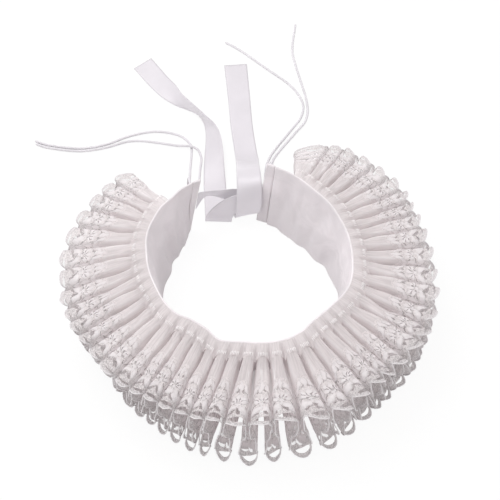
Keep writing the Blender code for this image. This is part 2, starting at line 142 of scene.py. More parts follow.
RIBBON_WALL = 1.0
FLOOR_Z = RIBBON_WALL / 2 + 0.02
TIE_RIGHT_SECTIONS = (
    ((11.0, 79.2, 36.0), (7.6, 74.0, 17.0)),
    ((1.5, 76.5, 34.0), (0.0, 71.5, 14.8)),
    ((-9.3, 74.0, 29.5), (-9.0, 69.0, 11.8)),
    ((-20.0, 73.0, 23.5), (-12.6, 68.2, 7.4)),
    ((-28.5, 72.0, 15.0), (-13.9, 67.9, 4.6)),
    ((-34.5, 70.5, 7.2), (-14.3, 67.8, 3.6)),
    ((-36.8, 68.4, 3.2), (-14.5, 67.5, 3.2)),
    ((-37.0, 66.9, 1.9), (-14.8, 66.2, 1.9)),
    ((-37.0, 68.4, FLOOR_Z), (-15.2, 67.7, FLOOR_Z)),
    ((-37.8, 82.0, FLOOR_Z), (-17.8, 82.0, FLOOR_Z)),
    ((-39.0, 100.0, FLOOR_Z), (-19.5, 100.0, FLOOR_Z)),
    ((-39.4, 118.0, FLOOR_Z), (-21.2, 118.0, 5.0)),
    ((-39.0, 138.0, 0.8), (-23.0, 137.0, 11.0)),
    ((-38.4, 156.0, 0.9), (-25.5, 152.0, 14.5)),
    ((-39.8, 171.0, 0.9), (-31.0, 162.0, 15.4)),
    ((-45.5, 183.0, 0.9), (-40.5, 173.0, 16.2)),
    ((-55.5, 189.5, 0.9), (-51.5, 186.0, 15.6)),
    ((-66.0, 194.5, 0.9), (-61.0, 202.0, 9.5)),
    ((-78.0, 203.5, 0.8), (-67.0, 217.5, 3.2)),
    ((-90.8, 218.0, FLOOR_Z), (-75.8, 230.8, FLOOR_Z)),
    ((-106.7, 240.2, FLOOR_Z), (-91.3, 253.2, FLOOR_Z)),
)
TIE_LEFT_SECTIONS = (
    ((-41.4, 67.2, 40.0), (-44.6, 64.6, 21.5)),
    ((-35.5, 70.0, 38.0), (-36.5, 77.5, 21.0)),
    ((-24.0, 75.5, 32.5), (-23.5, 81.0, 14.5)),
    ((-11.5, 79.5, 29.5), (-14.5, 79.8, 10.4)),
    ((-0.8, 80.8, 25.5), (-13.4, 79.0, 8.2)),
    ((4.6, 80.2, 18.0), (-12.8, 77.5, 6.6)),
    ((5.4, 77.0, 11.6), (-12.5, 74.5, 5.2)),
    ((5.4, 72.0, 8.6), (-12.4, 69.0, 4.3)),
    ((7.0, 69.4, 9.6), (-11.9, 66.4, 6.2)),
    ((9.4, 68.0, 14.0), (-11.4, 65.6, 10.6)),
    ((10.6, 69.8, 22.0), (-10.8, 66.8, 18.4)),
    ((10.8, 73.4, 31.0), (-10.4, 70.0, 27.5)),
    ((10.4, 79.0, 38.6), (-10.2, 76.0, 34.8)),
    ((9.5, 88.0, 39.5), (-10.3, 86.0, 36.4)),
    ((8.7, 99.0, 33.8), (-10.6, 98.0, 31.0)),
    ((8.4, 110.0, 24.0), (-10.9, 109.5, 21.5)),
    ((8.4, 120.5, 13.0), (-11.4, 120.5, 12.0)),
    ((8.1, 131.0, 4.4), (-12.0, 131.5, 4.0)),
    ((6.6, 143.0, FLOOR_Z), (-13.2, 144.0, FLOOR_Z)),
    ((3.2, 171.0, FLOOR_Z), (-16.6, 171.0, FLOOR_Z)),
    ((1.0, 202.0, FLOOR_Z), (-19.2, 202.0, FLOOR_Z)),
    ((-2.2, 246.0, FLOOR_Z), (-23.2, 244.0, FLOOR_Z)),
)

CORD_RADIUS = 1.1
CORD_Z = CORD_RADIUS + 0.1
CROSSING_Z = CORD_Z + 2 * CORD_RADIUS + 0.5
CORD_SAMPLES = 40
CORDS = (
    ("cord_left_upper", "left", 46.0, (
        (-49.5, 80.5, 42.0), (-51.0, 86.0, 24.0), (-51.4, 91.0, 8.0), (-51.5, 100.0, CORD_Z),
        (-51.3, 120.0, CORD_Z), (-50.6, 141.0, CORD_Z), (-52.6, 150.6, CORD_Z),
        (-63.2, 160.2, CORD_Z), (-83.8, 164.2, CORD_Z), (-105.8, 159.0, CORD_Z),
        (-126.4, 149.4, CORD_Z), (-148.9, 145.0, CORD_Z), (-175.6, 148.4, CORD_Z),
        (-189.3, 153.4, CORD_Z),
    )),
    ("cord_left_lower", "left", 12.0, (
        (-55.4, 69.0, 9.5), (-53.8, 76.5, 4.0), (-50.5, 84.5, CORD_Z), (-46.8, 94.5, CORD_Z),
        (-43.6, 107.0, CORD_Z), (-42.6, 122.0, CORD_Z), (-42.0, 134.0, CORD_Z),
        (-45.0, 142.2, 2.6), (-50.8, 145.0, CROSSING_Z), (-57.5, 146.6, 2.9),
        (-66.0, 148.6, CORD_Z), (-92.2, 153.2, CORD_Z), (-108.0, 152.6, CORD_Z),
        (-126.1, 146.0, CORD_Z), (-148.7, 142.0, CORD_Z), (-175.6, 145.4, CORD_Z),
        (-188.2, 150.0, CORD_Z),
    )),
    ("cord_right_outer", "right", 46.0, (
        (17.0, 97.0, 42.0), (18.0, 102.0, 24.0), (18.2, 107.0, 8.0), (18.6, 116.0, CORD_Z),
        (20.0, 129.0, CORD_Z), (26.0, 141.0, CORD_Z), (41.0, 162.6, CORD_Z),
        (51.0, 178.6, CORD_Z), (52.0, 200.0, CORD_Z), (43.3, 241.8, CORD_Z),
        (40.3, 264.0, CORD_Z), (43.9, 296.0, CORD_Z),
    )),
    ("cord_right_inner", "right", 12.0, (
        (11.5, 82.0, 9.0), (12.6, 90.0, 2.4), (13.4, 102.0, CORD_Z), (14.2, 116.0, CORD_Z),
        (16.0, 129.0, CORD_Z), (22.0, 142.4, CORD_Z), (37.2, 165.6, CORD_Z),
        (46.8, 182.0, CORD_Z), (48.0, 199.0, CORD_Z), (37.3, 219.0, CORD_Z),
        (15.5, 239.8, CORD_Z), (-8.0, 262.0, CORD_Z), (-22.3, 272.6, CORD_Z),
    )),
)

# ---- how the visible cloth is drawn ------------------------------------------------------------

# The middle of the ruffle's front, and how far from it the front's form ends and the sides' begins.
FRONT_MIDDLE = 4.0
FRONT_AZIMUTH = 14.0
SIDE_AZIMUTH = 48.0
# Where the lace's edge passes from its form at the left to its form at the right.
EDGE_CHANGE = (-30.0, 45.0)

# Sideways bulge of the folds, as a share of a wave: share of the way to the tip, then the bulge at
# the front and at the sides.
BULGE = (
    (0.00, 0.20, 0.20),
    (0.14, 0.26, 0.26),
    (0.30, 0.28, 0.28),
    (0.48, 0.29, 0.29),
    (0.65, 0.31, 0.30),
    (1.00, 0.31, 0.30),
)

# Steps of the searches along the band's top, in sections, and of the halvings towards an azimuth.
SEARCH_STEP = 0.002
SEARCH_STEPS = 3000
HALVINGS = 16

# The fold that the cloth's length is shared out by: its bulge, the distance between two, and the
# steps that its length is added up in.
MEAN_BULGE = 0.28
MEAN_PITCH = 16.0
PHASE_STEPS = 1200
# How much of the bulge the round low folds keep, and how softly and how high the crowns are
# pressed flat, and how much lower at the sides.
LOW_FOLD_BULGE = 0.66
CROWN_SOFTNESS = 0.05
FOLD_FLATNESS = 0.92
SIDE_FLATTENING = 0.10
# How far upper folds lean aside, in waves, and tilt over, in millimetres.
FOLD_LEAN = 0.045
FOLD_TILT = 2.4
# Pale fold shoulders, partly doubled cloth and partly a painted highlight: how high up a fold and
# how wide they are; and the painted light in the valleys.
CREASE_HEIGHT = 0.84
CREASE_WIDTH = 0.11
VALLEY_LIGHT = 0.85

# Scallops of the lace's edge, the half width of the open arc in one, and how far the edge at the
# right is moved along.
SCALLOPS_PER_WAVE = 6
SCALLOP = WAVE_LENGTH / SCALLOPS_PER_WAVE
COLUMNS_PER_SCALLOP = 18
OPEN_HALF = 5 / COLUMNS_PER_SCALLOP
EDGE_SHIFT = 4 / COLUMNS_PER_SCALLOP
# The scalloped edge: how far it reaches past the strip's width in a scallop's middle and falls back
# between two, each at the left, then how much more at the right; and the depth of the open arc at
# the front, then how much less at the sides.
EDGE_REACH = (2.2, 0.8)
EDGE_FALL = (4.2, 2.4)
OPEN_DEPTH = (3.8, 2.6)
BORDER_WIDTH = 3.0
RIM_GAP = 0.25
# Half width of the stitched rims inside the open arc and along the edge, and how far in their
# middles lie; how far from the arc the motifs stop; and the points round the edge's cord.
ARC_RIM_HALF = 0.40
ARC_RIM_INSET = 0.55
EDGE_RIM_HALF = 1.0
EDGE_RIM_INSET = 1.2
MOTIF_MARGIN = 2.2
EDGE_CORD_SIDES = 6

# Rows of points across the strip, and the share of its width where the stitched rows start.
PLAIN_ROWS = 12
STITCHED_ROWS = 34
BORDER_ROWS = 4
PLAIN_SHARE = 0.44

# Small waves of the organza: puckers beside the seam, their height and spacing, and where across
# the strip they are and how far they reach; then slow ripples, and the sheet's lowest point.
PUCKER_HEIGHT = 0.30
PUCKER_SPACING = 3.3
PUCKER_PLACE = 9.0
PUCKER_REACH = 10.0
RIPPLE_HEIGHT = 0.45
SHEET_LOWEST = 0.4

# The pressed heading: its size on the folds and between them, its grid, and its look.
HEADING_WIDTH = 11.5
HEADING_FLARE = 3.2
HEADING_PITCH = 10.5
HEADING_COLUMNS_PER_FOLD = 14
HEADING_ROWS = 15
# How pale the heading is painted with the pale fold colour.
HEADING_PALENESS = 0.4
OUTSIDE_MOTIFS = -5.0
# How deep the heading lies, sags and dips between two folds, and rolls down at its edge; and how
# far it swells on a fold and rises in small gathers.
HEADING_DEPTH = 0.3
HEADING_SAG = 0.8
HEADING_DIP = 3.4
HEADING_ROLL = 0.85
HEADING_SWELL = 0.35
GATHER_HEIGHT = 0.16
GATHERS_PER_FOLD = 5.0

# Stitches over each fold, the share of a fold between two, where they start on the heading, how
# far they lie above it, how far they rise, in radii, how thick their ends are, and the rings along
# one, as many as the points round it.
STITCHES_PER_FOLD = 6
STITCH_SPACING = 0.115
STITCH_INSET = 8.5
STITCH_LIFT = 0.30
STITCH_RISE = 0.9
STITCH_END_SHARE = 0.55
STITCH_GRID = 6

# Slow waves of the thin band: height, waves in a section, millimetres up the band, and seed.
BAND_WAVES = ((1.25, 0.62, 70.0, 21), (0.30, 2.2, 34.0, 22))
# Points up each face of the band, round its edges and along it; and the share of a hem's
# thickness that is left at its two edges.
BAND_FACE_ROWS = 22
BAND_TURN_ROWS = 7
BAND_COLUMNS = 420
HEM_COLUMNS = 15
HEM_EDGE_SHARE = 0.28

# The ribbons: their width and grid, the height of their ripples, and their firm edges.
RIBBON_WIDTH = 20.0
RIBBON_ROWS = 13
RIBBON_STEPS = 12
RIBBON_RIPPLE = 0.30
RIBBON_HALF_THICKNESS = 0.15
SELVEDGE_RISE = 0.04
SELVEDGE_WIDTH = 0.9

# The drawstrings: straight length at the hem, distance between two rings, points in a ring,
# twisted strands, length of one twist, depth of the grooves as a share, and how much of the radius
# is left at the ends.
CORD_LEAD = 4.0
CORD_RING_STEP = 0.75
CORD_SIDES = 18
CORD_STRANDS = 3
CORD_LAY = 5.5
CORD_GROOVE = 0.02
CORD_END_SHARE = 0.72

# Raised motifs of one scallop: middle along (from the scallop's middle) and across the strip (from
# the seam), half length and half width in millimetres, turn in degrees, and whether its ends are
# pointed, as on a leaf, or round, as on a petal.
MOTIFS = (
    (0.4, 37.0, 4.6, 1.8, 90.0, "leaf"),
    (4.4, 39.0, 4.5, 1.7, 62.0, "leaf"),
    (-4.0, 38.8, 4.2, 1.6, 116.0, "leaf"),
    (7.6, 43.2, 3.4, 1.5, 48.0, "leaf"),
    (-7.2, 43.4, 3.2, 1.4, 130.0, "leaf"),
    (-4.0, 50.0, 2.7, 1.35, 20.0, "petal"),
    (-2.7, 47.6, 2.8, 1.35, 58.0, "petal"),
    (0.0, 46.6, 2.9, 1.40, 90.0, "petal"),
    (2.7, 47.6, 2.8, 1.35, 122.0, "petal"),
    (4.0, 50.0, 2.7, 1.35, 160.0, "petal"),
    (0.0, 51.8, 1.7, 1.10, 0.0, "petal"),
    (0.6, 54.8, 3.2, 0.9, 84.0, "leaf"),
    (5.2, 57.4, 6.2, 2.2, 32.0, "leaf"),
    (-4.6, 59.0, 5.4, 2.5, 127.0, "petal"),
    (9.3, 50.8, 4.6, 1.7, 84.0, "leaf"),
    (-9.5, 50.8, 4.6, 1.7, 84.0, "leaf"),
    (-8.6, 57.2, 2.6, 1.1, 105.0, "leaf"),
)

# Open places worked between the motifs, in the same way.
EYELETS = (
    (-3.3, 48.8, 1.3, 0.45, 38.0, "leaf"),
    (-1.3, 48.2, 1.7, 0.50, 74.0, "leaf"),
    (1.3, 48.2, 1.7, 0.50, 106.0, "leaf"),
    (3.3, 48.8, 1.3, 0.45, 142.0, "leaf"),
    (-2.2, 51.2, 0.9, 0.50, 20.0, "leaf"),
    (2.2, 51.2, 0.9, 0.50, 160.0, "leaf"),
    (2.4, 41.2, 1.5, 0.62, 70.0, "leaf"),
    (-2.1, 41.0, 1.4, 0.58, 110.0, "leaf"),
    (6.2, 53.2, 3.0, 0.62, 28.0, "leaf"),
    (3.6, 60.4, 3.8, 0.90, 30.0, "leaf"),
    (-1.2, 59.6, 4.2, 1.00, 122.0, "leaf"),
    (-6.0, 54.4, 3.0, 0.60, 130.0, "leaf"),
    (7.0, 47.2, 1.6, 0.55, 80.0, "leaf"),
    (-6.9, 47.4, 1.5, 0.52, 96.0, "leaf"),
)
# A painted shadow under the lace's corded edge, drawn as a curl in the same way.
SHADOW_CURL = (-4.2, 66.6, 5.2, 0.85, 0.0, "leaf")

# Close net under the embroidery: where it starts across the strip, and how far it arches up.
GROUND_TOP = 40.0
GROUND_ARCH = 9.5

# The look of the lace: how far outlines wander and fray, where a raised motif's painted shadow
# falls, how dark its painted shadows and the painted shade in its holes are, and how opaque its
# cloth, its net and its holes are.
OUTLINE_WANDER = (4.6, 4.6, 0.0)
FRAYING = 1.1
SHADOW_SHIFT = (0.35, 0.85, 0.0)
SHADOW_SHARE = 0.42
HOLE_SHADE = 0.74
# Colour that the pale fold shoulders and the painted light in the valleys are blended towards.
PALE_FOLD_COLOUR = (0.98, 0.96, 0.965)
PLAIN_OPACITY = 0.78
NET_OPACITY = 0.93
EYELET_OPACITY = 0.50
EDGE_EYELET_OPACITY = 0.20

BLACK = (0.0, 0.0, 0.0, 1.0)
WHITE = (1.0, 1.0, 1.0, 1.0)


# ---- measuring and drawing helpers -------------------------------------------------------------

def in_frame(points):
    """Points in millimetres from the neck's centre, in the part's frame and in metres."""
    return (np.asarray(points) + NECK) * MM


def read_smooth(rows, where):
    """The rows of a table read as smooth curves, where 0 is the first row and 1 the next."""
    rows = np.asarray(rows, float)
    where = np.atleast_1d(np.asarray(where, float))
    last = len(rows) - 1
    i = np.clip(np.floor(where).astype(int), 0, last - 1)
    t = (where - i)[..., None]
    a, b, c, d = (rows[np.clip(i + k, 0, last)] for k in (-1, 0, 1, 2))
    return 0.5 * (2 * b + (c - a) * t + (2 * a - 5 * b + 4 * c - d) * t * t
                  + (3 * b - a - 3 * c + d) * t ** 3)


def on_ring(azimuth, radius, z):
    """Points at these azimuths (degrees) and radii about the neck's centre."""
    angle = np.radians(azimuth)
    return np.stack(np.broadcast_arrays(radius * np.sin(angle), -radius * np.cos(angle), z), -1)


def soft_step(low, high, value):
    """0 below low, 1 above high, and smooth between."""
    t = np.clip((value - low) / (high - low), 0.0, 1.0)
    return t * t * (3 - 2 * t)


def towards_side(azimuth):
    """0 where the ruffle has its front's form, and 1 where it has its sides'."""
    return soft_step(FRONT_AZIMUTH, SIDE_AZIMUTH, np.abs(azimuth - FRONT_MIDDLE))


def unit(vectors):
    """Vectors of length 1 in the same directions."""
    return vectors / np.maximum(np.linalg.norm(vectors, axis=-1, keepdims=True), 1e-9)


def running_total(steps):
    """Steps added up one after another, from 0."""
    return np.concatenate(([0.0], np.cumsum(steps)))


def walked_along(points):
    """The distance walked to each point of a line."""
    return running_total(np.linalg.norm(np.diff(points, axis=0), axis=1))


def cloth_places(along, across):
    """A grid's cloth coordinates: one distance along for each column, and distances across."""
    return np.stack(np.broadcast_arrays(np.reshape(along, (-1, 1)), across), -1)


def uneven(a, b, seed, terms=7):
    """A smooth random value, about -1 to 1, over two distances measured in its own wavelengths."""
    dice = np.random.default_rng(seed)
    total = 0.0
    for _ in range(terms):
        angle, turn = dice.uniform(0, 2 * math.pi, 2)
        pace = dice.uniform(0.6, 1.5) * 2 * math.pi
        total = total + np.sin(pace * (a * math.cos(angle) + b * math.sin(angle)) + turn)
    return total / math.sqrt(terms)


def sheet_normals(points):
    """Normals of a sheet held as a grid of points."""
    return unit(np.cross(np.gradient(points, axis=0), np.gradient(points, axis=1)))


def grid_faces(columns, rows, close_rows=False, skip=None):
    """Quads of a grid of points, numbered row by row inside each column."""
    i, j = np.meshgrid(np.arange(columns - 1), np.arange(rows if close_rows else rows - 1),
                       indexing="ij")
    if skip is not None:
        keep = ~skip[: columns - 1, : i.shape[1]]
        i, j = i[keep], j[keep]
    after = (j + 1) % rows
    return np.stack((i * rows + j, i * rows + after, (i + 1) * rows + after,
                     (i + 1) * rows + j), -1).reshape(-1, 4)


def closed_faces(columns, ring):
    """Quads round a closed section, with its two ends filled."""
    quads = list(grid_faces(columns, ring, close_rows=True))
    quads.append(np.arange(ring)[::-1])
    quads.append(np.arange(ring) + (columns - 1) * ring)
    return quads


def join_grids(parts):
    """Several (points, quads) as one."""
    points, quads, first = [], [], 0
    for some, faces in parts:
        points.append(some.reshape(-1, 3))
        quads.append(faces + first)
        first += len(points[-1])
    return np.concatenate(points), np.concatenate(quads)


def tube(line, across, radius, sides):
    """Rings round a line's points; across holds two unit vectors across it at each point."""
    angle = np.linspace(0, 2 * math.pi, sides, endpoint=False)
    one, other = across
    ring = (one[:, None] * np.cos(angle)[None, :, None]
            + other[:, None] * np.sin(angle)[None, :, None])
    return line[:, None] + ring * np.reshape(radius, (len(line), -1, 1))


def make_piece(name, points, quads, material, uvs, fields=None):
    """A smooth-shaded piece from points and cloth coordinates in millimetres."""
    mesh = bpy.data.meshes.new(name)
    mesh.from_pydata(in_frame(np.reshape(points, (-1, 3))).tolist(), [],
                     [list(map(int, quad)) for quad in quads])
    mesh.materials.append(material)
    loops = np.empty(len(mesh.loops), dtype=np.int32)
    mesh.loops.foreach_get("vertex_index", loops)
    cloth = (np.reshape(uvs, (-1, 2)) * MM)[loops].astype(np.float32)
    mesh.uv_layers.new(name="cloth").data.foreach_set("uv", cloth.ravel())
    for field, values in (fields or {}).items():
        attribute = mesh.attributes.new(field, "FLOAT", "POINT")
        attribute.data.foreach_set("value", np.asarray(values, dtype=np.float32).ravel())
    mesh.validate()
    mesh.shade_smooth()
    obj = bpy.data.objects.new(name, mesh)
    bpy.context.scene.collection.objects.link(obj)
    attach(obj, BODY)
    return obj


# ---- neckband ----------------------------------------------------------------------------------

def band_point(where, z, outward=0.0):
    """Points on the band's inner face at these heights, moved outwards by a distance."""
    section = read_smooth(BAND_SECTIONS, where)
    share = np.asarray(z) / BAND_HEIGHT
    azimuth = section[..., 2] + (section[..., 0] - section[..., 2]) * share
    radius = section[..., 3] + (section[..., 1] - section[..., 3]) * share
    return on_ring(azimuth, radius + outward, z)


def band_where(azimuth, z):
    """The sections of the band that lie at these azimuths and heights."""
    azimuth, z = np.broadcast_arrays(azimuth, z)
    low = np.zeros(azimuth.shape)
    high = np.full(azimuth.shape, BAND_END)
    for _ in range(HALVINGS):
        middle = (low + high) / 2
        point = band_point(middle, z)
        before = np.degrees(np.arctan2(point[..., 0], -point[..., 1])) > azimuth
        low = np.where(before, middle, low)
        high = np.where(before, high, middle)
    return (low + high) / 2


def band_facing(where, z):
    """The direction straight out of the band's outer face at one place."""
    along = band_point(where + 0.05, z, HEM_WALL) - band_point(where - 0.05, z, HEM_WALL)
    up = band_point(where, z + 1.0, HEM_WALL) - band_point(where, z - 1.0, HEM_WALL)
    facing = unit(np.cross(along, up))
    outward = band_point(where, z, HEM_WALL) - band_point(where, z)
    return facing * np.sign((facing * outward).sum(-1, keepdims=True))


def where_along(start, distance):
    """The section that lies a distance along the top edge from a section; minus goes back."""
    step = SEARCH_STEP if distance > 0 else -SEARCH_STEP
    wheres = start + step * np.arange(SEARCH_STEPS)
    walked = walked_along(band_point(wheres, BAND_HEIGHT))
    return float(wheres[np.searchsorted(walked, abs(distance))])


def shell_ring(where, thickness, rise):
    """The section round a stretch of band: up its inner face, over its edge, and down outside."""
    half = thickness / 2
    heights = np.linspace(half, BAND_HEIGHT - half, BAND_FACE_ROWS)
    turn = np.linspace(0, math.pi, BAND_TURN_ROWS)[1:-1]
    z = np.concatenate((heights, BAND_HEIGHT - half + half * np.sin(turn), heights[::-1],
                        half - half * np.sin(turn)))
    out = np.concatenate((np.zeros(BAND_FACE_ROWS), half - half * np.cos(turn),
                          np.full(BAND_FACE_ROWS, thickness), half + half * np.cos(turn)))
    z, out, where = np.broadcast_arrays(z[None, :], out[None, :], where[:, None])
    wander = sum(height * uneven(where * pace, z / tall, seed)
                 for height, pace, tall, seed in BAND_WAVES)
    wander = wander * (0.6 + 0.4 * soft_step(0.0, 8.0, z)) * (1 - 0.85 * soft_step(40.0, 56.0, z))
    points = band_point(where, z, out + rise * wander)
    across = np.where(out > half, 2 * BAND_HEIGHT - z, z)
    return points, cloth_places(walked_along(points[:, BAND_FACE_ROWS - 2]), across)


def hem_ring(first, last):
    """The section round a turned hem, thinner towards its two edges."""
    where = np.linspace(first, last, HEM_COLUMNS)
    points, uvs = shell_ring(where, HEM_WALL, 0.0)
    middle = band_point(where[:, None], points[..., 2], HEM_WALL / 2)
    share = np.abs(np.linspace(-1, 1, HEM_COLUMNS))
    keep = (1 - share ** 4) ** 0.5 * (1 - HEM_EDGE_SHARE) + HEM_EDGE_SHARE
    points[..., :2] = middle[..., :2] + (points - middle)[..., :2] * keep[:, None, None]
    return points, uvs


# ---- ruffle ------------------------------------------------------------------------------------

def crown(height, flat):
    """A wave's height with its top and foot pressed to soft round folds."""
    size = np.abs(height) / flat
    return np.sign(height) * (1 - CROWN_SOFTNESS * np.log1p(np.exp((1 - size) / CROWN_SOFTNESS)))


def section(phase, bulge, roundness=0.0, flat=0.9):
    """Sideways place, in waves, and height (-1 to 1) of the pleats' section."""
    height = np.cos(2 * math.pi * phase)
    below = np.where(height < 0, roundness, 0.0)
    bulge = bulge * (1 - (1 - LOW_FOLD_BULGE) * below)
    return (phase + bulge * np.sin(4 * math.pi * phase),
            crown(height, flat) * (1 - below) + height * below)


def phase_of_cloth():
    """Shares of a wave's cloth, and the phases they lie at."""
    phase = np.linspace(0.0, 1.0, PHASE_STEPS + 1)
    sideways, height = section(phase, MEAN_BULGE)
    half_depth = (TOP_Z - LOW_Z_TIP) / 2
    walked = running_total(np.hypot(np.diff(sideways) * MEAN_PITCH, np.diff(height) * half_depth))
    return walked / walked[-1], phase


CLOTH_SHARES, CLOTH_PHASES = phase_of_cloth()


def fold_at(along):
    """Azimuth, radius and drop of the strip's edge."""
    rows = np.array((FREE_END_RIGHT, *FOLDS, FREE_END_LEFT))
    places = np.concatenate(([0.0], np.arange(len(FOLDS)) + 0.5, [float(len(FOLDS))]))
    return [np.interp(along, places, rows[:, k]) for k in range(3)]


def seam_point(along, z, outward):
    """Points of the band beside a place along the strip, at these heights and moved outwards."""
    azimuth = RUFFLE_START + (RUFFLE_END - RUFFLE_START) * along / len(FOLDS)
    return band_point(band_where(azimuth, z), z, outward)


def fold_habits(fold):
    """How far each upper fold leans aside and tilts over, so that no two are alike."""
    lean = FOLD_LEAN * np.sin(2.4 * fold + 1.3 * np.sin(1.7 * fold))
    return lean, FOLD_TILT * (1 + 0.9 * np.sin(1.9 * fold + 0.8))


def ruffle_point(strip, ring):
    """Points of the strip: how many waves along it, and the share of the way to its edge."""
    strip, ring = np.broadcast_arrays(strip, ring)
    pleat = np.floor(strip)
    phase = np.interp(strip - pleat, CLOTH_SHARES, CLOTH_PHASES)
    nearby = fold_at(pleat + 0.5 + phase)[0]
    aside = towards_side(nearby)
    shares, front, side = np.transpose(BULGE)
    bulge = np.interp(ring, shares, front) * (1 - aside) + np.interp(ring, shares, side) * aside
    roundness = (1 - aside) * soft_step(0.25, 0.7, ring)
    flat = FOLD_FLATNESS - SIDE_FLATTENING * aside * soft_step(0.1, 0.4, ring)
    sideways, height = section(phase, bulge, roundness, flat)
    raised = (1 + height) / 2

    top_fold = np.floor(strip + 0.5)
    lean, tilt = fold_habits(top_fold)
    along = pleat + 0.5 + sideways + lean * np.clip(height, 0, 1) * soft_step(0.15, 0.6, ring)
    azimuth, radius, drop = fold_at(along)
    low = LOW_Z_SEAM + (LOW_Z_TIP - LOW_Z_SEAM) * ring
    z = low + (TOP_Z - low) * raised - drop * raised * ring
    across_fold = np.clip(along - top_fold - 0.5, -0.45, 0.45)
    tilt = tilt * soft_step(0.08, 0.4, ring)
    z = z - tilt * (0.45 + across_fold * np.sign(FRONT_MIDDLE - nearby)) * raised ** 2

    seam_z = LOW_Z_SEAM + (TOP_Z - LOW_Z_SEAM) * raised
    seam = seam_point(along, seam_z, BAND_WALL + SEAM_GAP + RUFFLE_WALL / 2)
    reach = np.interp(azimuth, *np.transpose(LOW_FOLD_REACH))
    tip = on_ring(azimuth, radius + reach * (1 - raised), z)
    point = seam + (tip - seam) * ring[..., None]
    point[..., 2] = z
    return point


def along_scallop(strip):
    """Where each place lies in its scallop (-0.5 to 0.5), how far to the right, and its azimuth."""
    azimuth = fold_at(strip + 0.5)[0]
    at_right = soft_step(*EDGE_CHANGE, azimuth)
    share = np.mod(strip * SCALLOPS_PER_WAVE + EDGE_SHIFT * at_right + 0.5, 1.0) - 0.5
    return share, at_right, azimuth


def scallop_edges(strip):
    """Across the strip at each column: the lace's inner arc, outer arc and its scalloped edge."""
    share, at_right, azimuth = along_scallop(strip)
    reach, fall = (left + more * at_right for left, more in (EDGE_REACH, EDGE_FALL))
    edge = STRIP_WIDTH + reach - fall * (2 * np.abs(share)) ** 1.6
    outer = edge - BORDER_WIDTH
    deep = OPEN_DEPTH[0] - OPEN_DEPTH[1] * towards_side(azimuth)
    inner = outer - deep * np.clip(1 - (share / OPEN_HALF) ** 2, 0.0, 1.0) - RIM_GAP
    return inner, outer, edge


def ruffle_columns(start, end):
    """Places along the strip of one length's columns, in waves, and where the lace is open."""
    per_wave = COLUMNS_PER_SCALLOP * SCALLOPS_PER_WAVE
    whole = np.arange(math.ceil(start * per_wave + 0.01), math.floor(end * per_wave - 0.01) + 1)
    strip = np.concatenate(([start], whole / per_wave, [end]))
    share, _, azimuth = along_scallop((strip[:-1] + strip[1:]) / 2)
    at_front = np.abs(azimuth - FRONT_MIDDLE) < SIDE_AZIMUTH
    return strip, np.append(at_front & (np.abs(share) < OPEN_HALF), False)


def motif_shape(row):
    """A motif's middle, its two directions, and the radius of its outline's arcs."""
    along, across, long, wide, turn, _ = row
    angle = math.radians(turn)
    forward = (math.cos(angle), math.sin(angle), 0.0)
    sideways = (-math.sin(angle), math.cos(angle), 0.0)
    return (along, across, 0.0), forward, sideways, (long * long + wide * wide) / (2 * wide)


def motif_depth(u, v, row):
    """How far inside a motif each point lies, in millimetres; below 0 outside."""
    middle, forward, sideways, bow = motif_shape(row)
    x = (u - middle[0]) * forward[0] + (v - middle[1]) * forward[1]
    y = (u - middle[0]) * sideways[0] + (v - middle[1]) * sideways[1]
    long, wide = row[2:4]
    if row[5] == "leaf":
        return bow - np.hypot(x, np.abs(y) + bow - wide)
    return (1 - np.hypot(x / long, y / wide)) * wide


def embroidery_depth(u, v):
    """Depth inside the raised motifs, in millimetres, at places along and across the strip."""
    u = np.mod(u + SCALLOP / 2, SCALLOP) - SCALLOP / 2
    return np.maximum.reduce([motif_depth(u, v, row) for row in MOTIFS])


def fold_creases(strip, across):
    """How pale the organza is painted: along the folds' shoulders, partly doubled cloth and partly
    a painted highlight, and in the valleys as painted light.
    """
    turn = np.cos(2 * math.pi * np.interp(np.mod(strip, 1.0), CLOTH_SHARES, CLOTH_PHASES))
    shoulder = np.exp(-((turn - CREASE_HEIGHT) / CREASE_WIDTH) ** 2)[:, None]
    valley = soft_step(0.6, -0.2, turn)[:, None] * soft_step(52.0, 30.0, across)
    return np.maximum(shoulder, VALLEY_LIGHT * valley) * soft_step(4.0, 16.0, across)


def ruffle_sheet(start, end, relief):
    """One length's grid of points, its open cells, cloth coordinates and fields for its finish."""
    strip, is_open = ruffle_columns(start, end)
    inner, outer, edge = (line[:, None] for line in scallop_edges(strip))
    shares = np.concatenate((np.linspace(0, PLAIN_SHARE, PLAIN_ROWS, endpoint=False),
                             np.linspace(PLAIN_SHARE, 1.0, STITCHED_ROWS)))
    beyond = outer + (edge - outer) * np.linspace(0, 1, BORDER_ROWS + 1)
    across = np.concatenate((inner * shares, beyond), axis=1)
    along = np.broadcast_to(strip[:, None] * WAVE_LENGTH, across.shape)
    points = ruffle_point(strip[:, None], across / STRIP_WIDTH)

    bare = inner - MOTIF_MARGIN - across
    border = np.where(across >= outer - 0.01,
                      EDGE_RIM_HALF - np.abs(across - edge + EDGE_RIM_INSET),
                      ARC_RIM_HALF - np.abs(across - inner + ARC_RIM_INSET))
    depth = np.maximum(np.minimum(embroidery_depth(along, across), bare), border)

    fade = soft_step(0.0, 6.0, across)
    pucker = np.sin(2 * math.pi * along / PUCKER_SPACING
                    + 2.0 * uneven(along / 30, across / 30, 3))
    lift = (relief * soft_step(-0.2, 0.9, depth)
            + PUCKER_HEIGHT * pucker * np.exp(-((across - PUCKER_PLACE) / PUCKER_REACH) ** 2) * fade
            + RIPPLE_HEIGHT * uneven(along / 15.0, across / 34.0, 5) * fade)
    points = points + sheet_normals(points) * lift[..., None]
    points[..., 2] = np.clip(points[..., 2], SHEET_LOWEST, BAND_HEIGHT + 0.5)

    skip = np.zeros(across.shape, dtype=bool)
    skip[:, PLAIN_ROWS + STITCHED_ROWS - 1] = is_open
    fields = {"border": border, "beside_border": bare, "crease": fold_creases(strip, across)}
    return points, skip, cloth_places(strip * WAVE_LENGTH, across), fields


